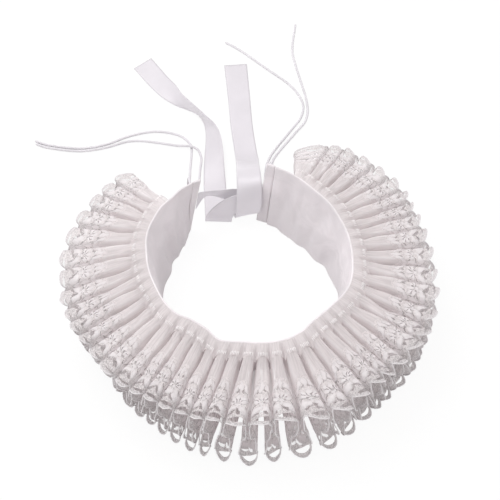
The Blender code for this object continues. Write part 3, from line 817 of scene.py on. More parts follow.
def edge_cord(points, radius, knot):
    """The corded rim along the lace's scalloped edge, with a small knot at every second column."""
    line = points[:, -1]
    out = sheet_normals(points)[:, -1]
    side = unit(np.cross(unit(np.gradient(line, axis=0)), out))
    radii = np.where(np.arange(len(line)) % 2 == 0, knot, radius)
    quads = grid_faces(len(line), EDGE_CORD_SIDES, close_rows=True)
    return tube(line, (out, side), radii, EDGE_CORD_SIDES), quads


def heading_point(place, across):
    """The pressed heading: places in folds along it, and millimetres out from the band."""
    place, across = np.broadcast_arrays(np.asarray(place, float), np.asarray(across, float))
    azimuth, radius, _ = fold_at(place)
    z = np.full(place.shape, BAND_HEIGHT)
    seam = seam_point(place, z, BAND_WALL * 0.55)
    point = seam + (on_ring(azimuth, radius, z) - seam) * (across / STRIP_WIDTH)[..., None]
    between = (np.abs(np.mod(place, 1.0) - 0.5) * 2) ** 3
    puff = 1 - between
    out = across / HEADING_WIDTH
    drop = (HEADING_DEPTH + HEADING_SAG * (1 - puff) * soft_step(0.1, 0.6, out)
            + HEADING_DIP * between * out ** 1.8 + HEADING_ROLL * soft_step(0.55, 1.0, out))
    swell = HEADING_SWELL * puff * np.sin(math.pi * np.clip(out, 0, 1)) ** 0.8
    turns = GATHERS_PER_FOLD * place + 0.35 * uneven(place * 1.3, out, 12)
    gathers = GATHER_HEIGHT * np.sin(2 * math.pi * turns) * soft_step(0.0, 0.3, out)
    point[..., 2] = BAND_HEIGHT - drop + swell + gathers
    return point


def heading_grid():
    """The heading's grid of points and its cloth coordinates."""
    place = np.linspace(0.12, len(FOLDS) - 0.12, len(FOLDS) * HEADING_COLUMNS_PER_FOLD + 1)
    width = HEADING_WIDTH + HEADING_FLARE * (np.abs(np.mod(place, 1.0) - 0.5) * 2) ** 2
    across = width[:, None] * np.linspace(0, 1, HEADING_ROWS)
    return heading_point(place[:, None], across), cloth_places(place * HEADING_PITCH, across)


def laid_stitch(start, end, radius):
    """One laid stitch: a short thread that rises from the cloth and dips back into it."""
    share = np.linspace(0, 1, STITCH_GRID)[:, None]
    rise = np.sin(math.pi * share)
    up = np.array((0.0, 0.0, 1.0))
    line = start + (end - start) * share + up * (STITCH_RISE * radius * rise)
    forward = unit(end - start)
    side = unit(np.cross(forward, up))
    across = [direction * np.ones_like(share) for direction in (side, np.cross(side, forward))]
    radii = radius * (STITCH_END_SHARE + (1 - STITCH_END_SHARE) * rise)
    points = tube(line, across, radii, STITCH_GRID)
    return points, grid_faces(STITCH_GRID, STITCH_GRID, close_rows=True)


def ruffle_stitches(length, radius):
    """A row of short radial stitches across each fold, beside the heading's edge."""
    dice = np.random.default_rng(8)
    parts = []
    for fold in range(len(FOLDS)):
        for k in range(STITCHES_PER_FOLD):
            beside = (k - (STITCHES_PER_FOLD - 1) / 2) * STITCH_SPACING
            place = fold + 0.5 + beside + dice.uniform(-0.012, 0.012)
            inner = STITCH_INSET + dice.uniform(-0.35, 0.35)
            ends = heading_point(np.full(2, place), np.array((inner, inner + length)))
            ends[:, 2] += STITCH_LIFT
            parts.append(laid_stitch(*ends, radius))
    return join_grids(parts)


# ---- ribbons and drawstrings -------------------------------------------------------------------

def ribbon_grid(sections):
    """A ribbon's closed shell: its points, cloth coordinates and length along its middle."""
    rows = [one + other for one, other in sections]
    steps = (len(rows) - 1) * RIBBON_STEPS
    values = read_smooth(rows, np.linspace(0, len(rows) - 1, steps + 1))
    one, other = values[:, :3], values[:, 3:]
    for edge in (one, other):
        edge[:, 2] = np.maximum(edge[:, 2], FLOOR_Z)
    share = np.linspace(0, 1, RIBBON_ROWS)
    middle = one[:, None] + (other - one)[:, None] * share[None, :, None]
    walked = walked_along(middle[:, RIBBON_ROWS // 2])
    lifted = soft_step(0.6, 8.0, middle[..., 2])
    ripple = RIBBON_RIPPLE * uneven(walked[:, None] / 22.0, share[None, :] * 0.7, 31)
    normals = sheet_normals(middle)
    middle = middle + normals * (ripple * lifted)[..., None]
    from_edge = np.minimum(share, 1 - share) * RIBBON_WIDTH
    half = RIBBON_HALF_THICKNESS + SELVEDGE_RISE * np.exp(-(from_edge / SELVEDGE_WIDTH) ** 2)
    top = middle + normals * half[None, :, None]
    foot = middle - normals * half[None, :, None]
    points = np.concatenate((top, foot[:, ::-1]), axis=1)
    across = np.concatenate((share, share[::-1])) * RIBBON_WIDTH
    return points, cloth_places(walked, across), float(walked[-1])


def cord_line(side, exit_z, route):
    """The smooth route of one drawstring, from the outside of its hem to its free end."""
    where = (where_along(0.0, HEM_WIDTH / 2) if side == "right"
             else where_along(BAND_END, -HEM_WIDTH / 2))
    facing = band_facing(where, exit_z)[0]
    leaving = band_point(where, exit_z, HEM_WALL)[0] + facing * SEAM_GAP
    rows = [tuple(leaving), tuple(leaving + facing * CORD_LEAD)] + list(route)
    points = read_smooth(rows, np.linspace(0, len(rows) - 1, (len(rows) - 1) * CORD_SAMPLES + 1))
    points[:, 2] = np.maximum(points[:, 2], CORD_Z)
    walked = walked_along(points)
    even = np.append(np.arange(0.0, walked[-1], CORD_RING_STEP), walked[-1])
    return np.stack([np.interp(even, walked, points[:, k]) for k in range(3)], -1), even


def cord_grid(line, walked):
    """A three-strand twisted cord round its line, and its cloth coordinates."""
    forward = unit(np.gradient(line, axis=0))
    side = unit(np.cross(forward, (0.0, 0.0, 1.0)))
    for i in range(1, len(line)):
        side[i] = unit(side[i - 1] - forward[i] * (side[i - 1] @ forward[i]))
    angle = np.linspace(0, 2 * math.pi, CORD_SIDES, endpoint=False)
    lobes = np.abs(np.cos((CORD_STRANDS / 2) * (angle[None, :]
                                               - 2 * math.pi * walked[:, None] / CORD_LAY)))
    radius = CORD_RADIUS * (1 - CORD_GROOVE + CORD_GROOVE * lobes)
    ends = soft_step(0.0, 1.0, np.minimum(walked, walked[-1] - walked))
    radius = radius * (CORD_END_SHARE + (1 - CORD_END_SHARE) * ends)[:, None]
    points = tube(line, (side, np.cross(side, forward)), radius, CORD_SIDES)
    return points, cloth_places(walked, angle * CORD_RADIUS)


# ---- shader node helpers -----------------------------------------------------------------------

def feed(tree, made, **inputs):
    """Set a node's inputs, or link them; a key is a socket's words, or i and its number."""
    for key, value in inputs.items():
        socket = made.inputs[int(key[1:]) if key[1:].isdigit() else key.replace("_", " ")]
        if isinstance(value, bpy.types.NodeSocket):
            tree.links.new(value, socket)
        else:
            socket.default_value = value


def node(tree, kind, settings=None, **inputs):
    """A node with its settings, whose inputs are values or the sockets that feed them."""
    made = tree.nodes.new(kind)
    for key, value in (settings or {}).items():
        setattr(made, key, value)
    feed(tree, made, **inputs)
    return made


def maths(tree, operation, value, *others):
    """One Math node, or one after another where there are more than two values."""
    for other in others or (0.0,):
        made = node(tree, "ShaderNodeMath", {"operation": operation}, i0=value, i1=other)
        value = made.outputs[0]
    return value


def times(tree, *values):
    """Values multiplied."""
    return maths(tree, "MULTIPLY", *values)


def plus(tree, *values):
    """Values added up."""
    return maths(tree, "ADD", *values)


def less(tree, one, other):
    """One value less another."""
    return maths(tree, "SUBTRACT", one, other)


def vector(tree, operation, *values):
    """A Vector Math node's result."""
    made = node(tree, "ShaderNodeVectorMath", {"operation": operation},
                **{f"i{k}": value for k, value in enumerate(values)})
    return made.outputs["Value" if operation in ("DOT_PRODUCT", "LENGTH") else "Vector"]


def split(tree, point):
    """A vector's three parts."""
    return node(tree, "ShaderNodeSeparateXYZ", i0=point).outputs


def joined(tree, x, y):
    """Two values as a vector."""
    return node(tree, "ShaderNodeCombineXYZ", i0=x, i1=y).outputs[0]


def stored(tree, name):
    """A value that is stored on the piece's points."""
    return node(tree, "ShaderNodeAttribute", {"attribute_name": name}).outputs["Fac"]


def noise(tree, place, scale, detail, **more):
    """Random clouds over a place: their value, then their colour."""
    return node(tree, "ShaderNodeTexNoise", {"noise_dimensions": "3D"}, Vector=place,
                Scale=scale, Detail=detail, **more).outputs


def paint(colour, share=1.0):
    """A colour made darker or lighter by a share, with its alpha."""
    return tuple(share * c for c in colour) + (1,)


def blend_colour(tree, share, one, other):
    """One colour, turning to another as the share goes from 0 to 1."""
    mix = node(tree, "ShaderNodeMix", {"data_type": "RGBA"}, i0=share, i6=one, i7=other)
    return mix.outputs[2]


def ramp(tree, value, low, high, start=0.0, end=1.0):
    """A value moved smoothly from one range to another, and held at its ends."""
    return node(tree, "ShaderNodeMapRange", {"interpolation_type": "SMOOTHSTEP"},
                i0=value, i1=low, i2=high, i3=start, i4=end).outputs[0]


def bump(tree, height, depth, distance=MM):
    """The surface's normals, tilted by a height."""
    return node(tree, "ShaderNodeBump", Height=height, Strength=depth, Distance=distance).outputs[0]


# ---- shared effects ----------------------------------------------------------------------------

def group(name, inputs, outputs):
    """An empty node group and its end nodes; an input without a default is a vector."""
    tree = bpy.data.node_groups.new(name, "ShaderNodeTree")
    for title, default in inputs.items():
        if default is None:
            tree.interface.new_socket(title, in_out="INPUT", socket_type="NodeSocketVector")
        else:
            socket = tree.interface.new_socket(title, in_out="INPUT", socket_type="NodeSocketFloat")
            socket.default_value = default
    for title in outputs:
        tree.interface.new_socket(title, in_out="OUTPUT", socket_type="NodeSocketFloat")
    return tree, tree.nodes.new("NodeGroupInput").outputs, tree.nodes.new("NodeGroupOutput")


def place_group(tree, build, **inputs):
    """A shared group, built the first time that it is asked for, and fed these inputs."""
    shared = bpy.data.node_groups.get(build.__name__) or build()
    return node(tree, "ShaderNodeGroup", {"node_tree": shared}, **inputs).outputs


def plain_weave():
    """Crossing threads of a plain weave, from the cloth's own coordinates in metres."""
    tree, given, made = group("plain_weave", {"Cloth": None, "Threads per metre": 2000.0},
                              ("Height",))
    place = split(tree, given["Cloth"])
    turns = times(tree, given["Threads per metre"], math.pi)
    warp, weft = (maths(tree, "SINE", times(tree, place[k], turns)) for k in (0, 1))
    ribs = maths(tree, "MAXIMUM", maths(tree, "ABSOLUTE", warp), maths(tree, "ABSOLUTE", weft))
    feed(tree, made, Height=plus(tree, times(tree, warp, weft, 0.35), ribs))
    return tree


def cloudy_cloth():
    """Soft uneven patches and a fine grain, as in washed and pressed cloth."""
    tree, given, made = group(
        "cloudy_cloth", {"Place": None, "Patches per metre": 40.0, "Grain per metre": 700.0},
        ("Patches", "Grain"))
    feed(tree, made,
         Patches=noise(tree, given["Place"], given["Patches per metre"], 3.0, Roughness=0.55)[0],
         Grain=noise(tree, given["Place"], given["Grain per metre"], 2.0, Roughness=0.6)[0])
    return tree


def satin_stitch():
    """Close parallel stitches laid slantwise."""
    tree, given, made = group(
        "satin_stitch", {"Cloth": None, "Threads per metre": 1800.0, "Slant": 0.5}, ("Height",))
    place = split(tree, given["Cloth"])
    wander = noise(tree, given["Cloth"], 220.0, 1.0)[0]
    line = plus(tree, place[0], times(tree, place[1], given["Slant"]), times(tree, wander, 0.003))
    turns = times(tree, given["Threads per metre"], 2 * math.pi)
    feed(tree, made, Height=maths(tree, "SINE", times(tree, line, turns)))
    return tree


def motif_group(name, size, default):
    """The start of a motif's group, and how far a place lies along and beside the motif."""
    tree, given, made = group(
        name, {"Place": None, "Middle": None, "Forward": None, "Sideways": None, size: default,
               "Wide": 1.0}, ("Depth",))
    away = vector(tree, "SUBTRACT", given["Place"], given["Middle"])
    x, y = (vector(tree, "DOT_PRODUCT", away, given[key]) for key in ("Forward", "Sideways"))
    return tree, given, made, x, y


def leaf_motif():
    """Depth inside one leaf, whose outline is two arcs that meet in points."""
    tree, given, made, x, y = motif_group("leaf_motif", "Bow", 4.0)
    y = plus(tree, maths(tree, "ABSOLUTE", y), less(tree, given["Bow"], given["Wide"]))
    feed(tree, made, Depth=less(tree, given["Bow"], vector(tree, "LENGTH", joined(tree, x, y))))
    return tree


def petal_motif():
    """Depth inside one petal, whose outline is an oval."""
    tree, given, made, x, y = motif_group("petal_motif", "Long", 2.0)
    arm = joined(tree, maths(tree, "DIVIDE", x, given["Long"]),
                 maths(tree, "DIVIDE", y, given["Wide"]))
    feed(tree, made, Depth=times(tree, less(tree, 1.0, vector(tree, "LENGTH", arm)),
                                 given["Wide"]))
    return tree


def motifs_depth(tree, place, rows):
    """Depth inside the nearest of several motifs, at a place in millimetres."""
    depths = []
    for row in rows:
        middle, forward, sideways, bow = motif_shape(row)
        build, size = (leaf_motif, {"Bow": bow}) if row[5] == "leaf" else (petal_motif,
                                                                           {"Long": row[2]})
        depths.append(place_group(tree, build, Place=place, Middle=middle, Forward=forward,
                                  Sideways=sideways, Wide=row[3], **size)["Depth"])
    return maths(tree, "MAXIMUM", *depths) if len(depths) > 1 else depths[0]


# ---- finishes ----------------------------------------------------------------------------------

def new_material(name):
    """A material with one Principled shader, and the cloth's and the piece's coordinates."""
    material = bpy.data.materials.new(name)
    material.use_nodes = True
    tree = material.node_tree
    cloth = node(tree, "ShaderNodeUVMap", {"uv_map": "cloth"}).outputs[0]
    place = node(tree, "ShaderNodeTexCoord").outputs["Object"]
    return material, tree, tree.nodes["Principled BSDF"], cloth, place


def patchy(tree, cloudy, colour, share, low, high):
    """A colour with soft patches in which it is darker by a share."""
    return blend_colour(tree, ramp(tree, cloudy["Patches"], low, high), paint(colour, share),
                        paint(colour))


def let_light_through(tree, shader, share, colour, opacity=None):
    """Light shows through the cloth from behind; opacity, where given, leaves it partly clear."""
    glow = node(tree, "ShaderNodeBsdfTranslucent", Color=colour)
    cloth = node(tree, "ShaderNodeMixShader", i0=share, i1=shader.outputs[0], i2=glow.outputs[0])
    if opacity is not None:
        clear = node(tree, "ShaderNodeBsdfTransparent")
        cloth = node(tree, "ShaderNodeMixShader", i0=opacity, i1=clear.outputs[0],
                     i2=cloth.outputs[0])
    feed(tree, tree.nodes["Material Output"], Surface=cloth.outputs[0])


def cotton_finish(name, colour):
    """Plain woven cotton of the neckband, with painted shade in its creases and towards its foot.
    """
    material, tree, shader, cloth, place = new_material(name)
    cloudy = place_group(tree, cloudy_cloth, Place=place, Patches_per_metre=19.0)
    weave = place_group(tree, plain_weave, Cloth=cloth, Threads_per_metre=2100.0)
    creases = noise(tree, cloth, 52.0, 4.0, Roughness=0.6, Distortion=1.6)[0]
    up = split(tree, cloth)[1]
    # Painted shade: the cloth is darker in its creases, more so low on the band.
    crease_shade = times(tree, ramp(tree, creases, 0.38, 0.62, 0.95, 0.0),
                    ramp(tree, up, 0.012, 0.046, 1.0, 0.30))
    tint = patchy(tree, cloudy, colour, 0.90, 0.35, 0.65)
    tint = blend_colour(tree, crease_shade, tint, paint(colour, 0.82))
    # Painted shade: darker towards the foot of the band's inner face.
    tint = blend_colour(tree, ramp(tree, up, 0.0, 0.048), paint(colour, 0.76), tint)
    height = plus(tree, times(tree, weave["Height"], 0.12), times(tree, cloudy["Patches"], 0.9))
    feed(tree, shader, Base_Color=tint,
         Roughness=ramp(tree, cloudy["Grain"], 0.3, 0.7, 0.82, 0.94), Sheen_Weight=0.15,
         Specular_IOR_Level=0.25, Normal=bump(tree, height, 0.35))
    let_light_through(tree, shader, 0.14, tint)
    return material


def lace_drawing(tree, cloth, along, across, cloudy):
    """Shares of the cloth that are stitched, deep in a stitch, open, netted and in shadow."""
    wrapped = node(tree, "ShaderNodeMath", {"operation": "WRAP"}, i0=along, i1=SCALLOP / 2,
                   i2=-SCALLOP / 2).outputs[0]
    even_place = joined(tree, wrapped, across)
    wander = vector(tree, "SUBTRACT", noise(tree, cloth, 210.0, 1.0)["Color"], (0.5, 0.5, 0.5))
    place = vector(tree, "ADD", even_place, vector(tree, "MULTIPLY", wander, OUTLINE_WANDER))
    shadow_place = vector(tree, "SUBTRACT", place, SHADOW_SHIFT)
    bare = stored(tree, "beside_border")
    depth, above, gap = (maths(tree, "MINIMUM", motifs_depth(tree, at, rows), bare)
                         for at, rows in ((place, MOTIFS), (shadow_place, MOTIFS),
                                          (place, EYELETS)))
    depth = maths(tree, "MAXIMUM", depth, stored(tree, "border"))
    # The curl of painted shadow joins the eyelets: it is darkened and left partly clear.
    gap = maths(tree, "MAXIMUM", gap, motifs_depth(tree, even_place, (SHADOW_CURL,)))
    share = maths(tree, "DIVIDE", wrapped, SCALLOP / 2)
    arch = less(tree, 1.0, times(tree, share, share))
    ground = plus(tree, less(tree, across, GROUND_TOP), times(tree, arch, GROUND_ARCH))

    frayed = times(tree, less(tree, cloudy["Grain"], 0.5), FRAYING)
    stitched = ramp(tree, plus(tree, depth, frayed), -0.22, 0.26)
    hole = ramp(tree, plus(tree, gap, frayed), -0.15, 0.22)
    netted = ramp(tree, plus(tree, ground, frayed), -0.6, 0.8)
    shadow = times(tree, ramp(tree, above, -0.35, 0.35),
                   ramp(tree, cloudy["Patches"], 0.40, 0.60, 0.30, 0.85), netted)
    return stitched, ramp(tree, depth, 0.0, 1.0), hole, netted, shadow


def organza_tint(tree, organza, along, across, cloudy):
    """Colour of the plain organza, with thread streaks along it, pale fold shoulders (doubled cloth
    and painted highlight) and painted light in the valleys.
    """
    streaked = joined(tree, times(tree, along, 0.75), times(tree, across, 0.05))
    streak = ramp(tree, noise(tree, streaked, 1.0, 2.0)[0], 0.40, 0.62, 0.0, 0.16)
    tint = blend_colour(tree, streak, patchy(tree, cloudy, organza, 0.95, 0.35, 0.65), BLACK)
    # Paler where the stored field says: painted highlight with doubled cloth on the shoulders,
    # painted light in the valleys, an even paleness on the heading.
    pressed = times(tree, stored(tree, "crease"), 0.8)
    return blend_colour(tree, pressed, tint, paint(PALE_FOLD_COLOUR))


def lace_finish(name, organza, thread):
    """Clear organza, netted and embroidered towards its edge, with worked eyelets; painted shadows
    beside its motifs, painted shade in its eyelets and tips, and a faint painted glow.
    """
    material, tree, shader, cloth, place = new_material(name)
    cloudy = place_group(tree, cloudy_cloth, Place=place, Patches_per_metre=45.0,
                         Grain_per_metre=900.0)
    stitch = place_group(tree, satin_stitch, Cloth=cloth, Threads_per_metre=1500.0, Slant=0.55)
    weave = place_group(tree, plain_weave, Cloth=cloth, Threads_per_metre=1700.0)
    along, across = (times(tree, part, 1 / MM) for part in tuple(split(tree, cloth))[:2])
    stitched, inside, hole, netted, shadow = lace_drawing(tree, cloth, along, across, cloudy)

    shade = paint(organza, SHADOW_SHARE)
    net = blend_colour(tree, ramp(tree, cloudy["Grain"], 0.40, 0.62, 0.86, 0.66), BLACK,
                       paint(organza, 1.16))
    tint = blend_colour(tree, netted, organza_tint(tree, organza, along, across, cloudy), net)
    tint = blend_colour(tree, shadow, tint, shade)
    # The stitches are painted slightly darker at their edges than deep inside them, as shade on
    # their raised rims.
    tint = blend_colour(tree, stitched, tint,
                        blend_colour(tree, inside, paint(thread, 0.91), paint(thread)))
    # Painted shade in the eyelets and the curl, which are also left partly clear.
    tint = blend_colour(tree, times(tree, hole, HOLE_SHADE), tint, shade)
    # Painted shade at the lace's tips, broken up by the grain and stronger towards the front of the
    # collar.
    tip_shade = times(tree, ramp(tree, across, 54.0, 66.0),
                 ramp(tree, cloudy["Grain"], 0.42, 0.60, 0.24, 0.70),
                 ramp(tree, split(tree, place)[1], -0.16, -0.07, 1.0, 0.60))
    tint = blend_colour(tree, tip_shade, tint, shade)

    height = plus(tree, times(tree, stitch["Height"], 0.10, stitched),
                  times(tree, weave["Height"], 0.05), times(tree, cloudy["Patches"], 0.5),
                  times(tree, inside, 0.5))
    # The faint emission is painted light: a glow that lifts the shade between the folds.
    feed(tree, shader, Base_Color=tint, Roughness=ramp(tree, stitched, 0.0, 1.0, 0.46, 0.68),
         Sheen_Weight=0.1, Specular_IOR_Level=0.35, Normal=bump(tree, height, 0.7),
         Emission_Color=(0.76, 0.71, 0.71, 1.0), Emission_Strength=0.13)
    opacity = maths(tree, "MAXIMUM", ramp(tree, stitched, 0.0, 1.0, PLAIN_OPACITY, 1.0),
                    ramp(tree, netted, 0.0, 1.0, PLAIN_OPACITY, NET_OPACITY))
    in_hole = ramp(tree, across, 53.0, 59.0, EYELET_OPACITY, EDGE_EYELET_OPACITY)
    opacity = times(tree, opacity, ramp(tree, hole, 0.0, 1.0, 1.0, in_hole))
    let_light_through(tree, shader, 0.45, tint, opacity)
    return material


def satin_finish(name, colour):
    """Smooth ribbon satin, with fine ribs along it, a soft streak of light across it, and a faint
    painted glow that lifts its shade.
    """
    material, tree, shader, cloth, place = new_material(name)
    cloudy = place_group(tree, cloudy_cloth, Place=place, Patches_per_metre=30.0)
    ribs = maths(tree, "SINE", times(tree, split(tree, cloth)[1], 2 * math.pi * 1600.0))
    tint = patchy(tree, cloudy, colour, 0.95, 0.3, 0.7)
    height = plus(tree, times(tree, ribs, 0.03), times(tree, cloudy["Patches"], 0.6))
    # The faint emission is painted light that lifts the ribbon's shaded parts.
    feed(tree, shader, Base_Color=tint,
         Roughness=ramp(tree, cloudy["Grain"], 0.3, 0.7, 0.30, 0.40), Sheen_Weight=0.25,
         Anisotropic=0.5, Specular_IOR_Level=0.5, Normal=bump(tree, height, 0.35),
         Emission_Color=(1.0, 0.97, 1.0, 1.0), Emission_Strength=0.13)
    let_light_through(tree, shader, 0.12, tint)
    return material


def thread_finish(name, colour, threads=1400.0, relief=0.12, share=1.0):
    """Twisted thread of the drawstrings, the stitches and the corded edge; a share below 1 darkens
    the colour as painted shade.
    """
    material, tree, shader, cloth, place = new_material(name)
    cloudy = place_group(tree, cloudy_cloth, Place=place, Patches_per_metre=60.0)
    stitch = place_group(tree, satin_stitch, Cloth=cloth, Threads_per_metre=threads, Slant=1.0)
    darker = tuple(share * c for c in colour)
    feed(tree, shader, Base_Color=patchy(tree, cloudy, darker, 0.90, 0.3, 0.7),
         Roughness=ramp(tree, cloudy["Grain"], 0.3, 0.7, 0.55, 0.75), Sheen_Weight=0.2,
         Specular_IOR_Level=0.35, Normal=bump(tree, stitch["Height"], relief, 0.1 * MM))
    return material


# Each finish: how it is made, the colours that it takes from the settings, and its details.
FINISHES = {
    "band_cotton_cloth": (cotton_finish, ("cotton",), {}),
    "lace_organza_cloth": (lace_finish, ("organza", "embroidery"), {}),
    # The corded edge takes the embroidery's colour darkened by painted shade.
    "lace_cording": (thread_finish, ("embroidery",), {"share": 0.80}),
    "lace_thread": (thread_finish, ("thread",), {}),
    "satin_ribbon_cloth": (satin_finish, ("satin",), {}),
    "drawstring_cord": (thread_finish, ("drawstring",), {"threads": 900.0, "relief": 0.02}),
}


def material_for(context, name):
    """One of the collar's finishes, made anew with the colours that are set."""
    build, keys, details = FINISHES[name]
    looks = context.scene.ruff_collar_looks
    return build(name, *(tuple(getattr(looks, key)) for key in keys), **details)


# ---- settings ----------------------------------------------------------------------------------

def colour_setting(title, about, value):
    """A colour that can be set in the panel."""
    return FloatVectorProperty(name=title, description=about, subtype="COLOR", size=3,
                               min=0.0, max=1.0, default=value)


def length_setting(title, about, millimetres):
    """A length that can be set in the panel."""
    return FloatProperty(name=title, description=about, unit="LENGTH", min=0.0, precision=5,
                         default=millimetres * MM)


class RuffCollarLooks(PropertyGroup):
    """Colours of the collar's cloths and threads."""
    cotton: colour_setting("Cotton", "Colour of the neckband's cotton", (0.92, 0.88, 0.90))
    organza: colour_setting("Organza", "Colour of the ruffle's organza", (0.868, 0.828, 0.830))
    # The cording is drawn in this colour darkened by painted shade.
    embroidery: colour_setting("Embroidery", "Colour of the embroidery; its cording is darker",
                               (0.93, 0.90, 0.91))
    thread: colour_setting("Thread", "Colour of the stitches over the folds",
                           (0.97, 0.945, 0.95))
    satin: colour_setting("Satin", "Colour of the ribbon ties", (0.61, 0.585, 0.618))
    drawstring: colour_setting("Drawstring", "Colour of the drawstrings", (0.68, 0.66, 0.69))
    floor: colour_setting("Floor", "Colour of the studio floor", (0.97, 0.97, 0.97))


class RuffCollarSizes(PropertyGroup):
    """Sizes of the ruffle's fine work."""
    relief: length_setting("Relief", "How far the embroidery stands off the organza", 0.30)
    cording: length_setting("Cording", "Radius of the cord along the scalloped edge", 0.38)
    knot: length_setting("Knot", "Radius of the knots along the scalloped edge", 0.58)
    stitch: length_setting("Stitch", "Length of the stitches over the folds", 2.7)
    strand: length_setting("Strand", "Radius of the stitches over the folds", 0.33)


class RuffCollarStage(PropertyGroup):
    """The studio: its camera and its lights."""
    elevation: FloatProperty(name="Camera elevation", subtype="ANGLE",
                             description="Height of the camera above the horizon",
                             default=math.radians(56.0))
    distance: FloatProperty(name="Camera distance", unit="LENGTH",
                            description="From the camera to the collar's middle", default=0.944)
    lens: FloatProperty(name="Lens", unit="CAMERA", description="Focal length, in millimetres",
                        default=85.0)
    key_power: FloatProperty(name="Key light", unit="POWER",
                             description="Power of the large light above the back", default=9.5)
    sky: FloatProperty(name="Room light", description="Strength of the even light all round",
                       default=1.0)
    paper: FloatProperty(name="Paper white", min=0.0, max=1.0, default=0.9,
                         description="How far the floor is bleached to plain white for the camera")


# ---- studio ------------------------------------------------------------------------------------

CAMERA_AIM = Vector((0.0017, -0.0327, 0.030))
FLOOR_HALF = 3.0
LIGHT_BOUNCES = 12
# Each lamp: its place, its width, and its share of the key light's power.
LAMPS = (
    ("key", (-0.5, 0.6, 1.25), 0.9, 1.0),
    ("fill", (-0.45, -0.3, 1.2), 1.2, 0.18),
)


def add_object(scene, name, data, location=(0.0, 0.0, 0.0), facing=None):
    """An object of the stage, turned to look along a direction where one is given."""
    made = bpy.data.objects.new(name, data)
    made.location = location
    if facing is not None:
        made.rotation_mode = "QUATERNION"
        made.rotation_quaternion = facing.to_track_quat("-Z", "Y")
    scene.collection.objects.link(made)
    return made


def place_camera(scene, stage):
    """The camera, in front of the collar and above it."""
    back = Vector((0.0, -math.cos(stage.elevation), math.sin(stage.elevation)))
    camera = add_object(scene, "camera", bpy.data.cameras.new("camera"),
                        CAMERA_AIM + back * stage.distance, -back)
    camera.data.lens = stage.lens
    camera.data.sensor_width = 36.0
    camera.data.clip_start = 0.01
    scene.camera = camera


def lay_floor(scene, colour, paper):
    """A plain pale floor, which the camera sees as white paper."""
    mesh = bpy.data.meshes.new("floor")
    corners = ((-1, -1), (1, -1), (1, 1), (-1, 1))
    mesh.from_pydata([(x * FLOOR_HALF, y * FLOOR_HALF, 0) for x, y in corners], [],
                     [(0, 1, 2, 3)])
    material, tree, shader, _, place = new_material("studio_floor")
    cloudy = place_group(tree, cloudy_cloth, Place=place, Patches_per_metre=3.0)
    tint = blend_colour(tree, cloudy["Patches"], paint(colour, 0.985), paint(colour))
    feed(tree, shader, Base_Color=tint, Roughness=0.9, Specular_IOR_Level=0.1)
    seen = node(tree, "ShaderNodeLightPath").outputs["Is Camera Ray"]
    pale = node(tree, "ShaderNodeEmission", Strength=1.0)
    mixed = node(tree, "ShaderNodeMixShader", i0=times(tree, seen, paper), i1=shader.outputs[0],
                 i2=pale.outputs[0])
    feed(tree, tree.nodes["Material Output"], Surface=mixed.outputs[0])
    mesh.materials.append(material)
    floor = add_object(scene, "floor", mesh)


def light_room(scene, stage):
    """Even light all round, stronger from above, and two large soft lamps."""
    world = bpy.data.worlds.new("studio")
    scene.world = world
    world.use_nodes = True
    tree = world.node_tree
    high = split(tree, node(tree, "ShaderNodeTexCoord").outputs["Generated"])[2]
    light = blend_colour(tree, ramp(tree, high, 0.0, 0.8), (0.34, 0.33, 0.33, 1.0),
                         (1.0, 0.985, 0.985, 1.0))
    seen = node(tree, "ShaderNodeLightPath").outputs["Is Camera Ray"]
    feed(tree, tree.nodes["Background"], Color=blend_colour(tree, seen, light, WHITE),
         Strength=stage.sky)
    for name, place, size, share in LAMPS:
        lamp = bpy.data.lights.new(name, "AREA")
        lamp.size = size
        lamp.energy = stage.key_power * share
        add_object(scene, name, lamp, place, CAMERA_AIM - Vector(place))


# ---- operators ---------------------------------------------------------------------------------

class StageOperator(Operator):
    """Set the camera, the lights and the floor"""
    bl_idname = "ruff_collar.stage"
    bl_label = "Stage"

    def execute(self, context):
        scene = context.scene
        stage = scene.ruff_collar_stage
        place_camera(scene, stage)
        lay_floor(scene, tuple(scene.ruff_collar_looks.floor), stage.paper)
        light_room(scene, stage)
        scene.view_settings.view_transform = "Standard"
        scene.cycles.max_bounces = LIGHT_BOUNCES
        scene.cycles.diffuse_bounces = LIGHT_BOUNCES
        scene.cycles.transmission_bounces = LIGHT_BOUNCES
        return {"FINISHED"}


class CordsOperator(Operator):
    """Lay the four strands of the drawstrings"""
    bl_idname = "ruff_collar.cords"
    bl_label = "Drawstrings"

    def execute(self, context):
        finish = material_for(context, "drawstring_cord")
        for name, side, exit_z, route in CORDS:
            line, walked = cord_line(side, exit_z, route)
            points, uvs = cord_grid(line, walked)
            piece = make_piece(name + "_twist", points, closed_faces(*points.shape[:2]), finish,
                               uvs)
            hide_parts(name)
        return {"FINISHED"}


class BandOperator(Operator):
    """Sew the neckband and its two turned hems"""
    bl_idname = "ruff_collar.band"
    bl_label = "Neckband"

    def execute(self, context):
        finish = material_for(context, "band_cotton_cloth")
        ends = {"hem_right": (0.0, where_along(0.0, HEM_WIDTH)),
                "hem_left": (where_along(BAND_END, -HEM_WIDTH), BAND_END)}
        for name, (first, last) in ends.items():
            points, uvs = hem_ring(first, last)
            hem = make_piece(name + "_cloth", points, closed_faces(*points.shape[:2]), finish,
                             uvs)
            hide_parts(name)
        first = where_along(0.0, HEM_WIDTH + SEAM_GAP)
        last = where_along(BAND_END, -HEM_WIDTH - SEAM_GAP)
        points, uvs = shell_ring(np.linspace(first, last, BAND_COLUMNS), BAND_WALL, 1.0)
        band = make_piece("neckband_cloth", points, closed_faces(*points.shape[:2]), finish,
                          uvs)
        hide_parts("neckband")
        return {"FINISHED"}


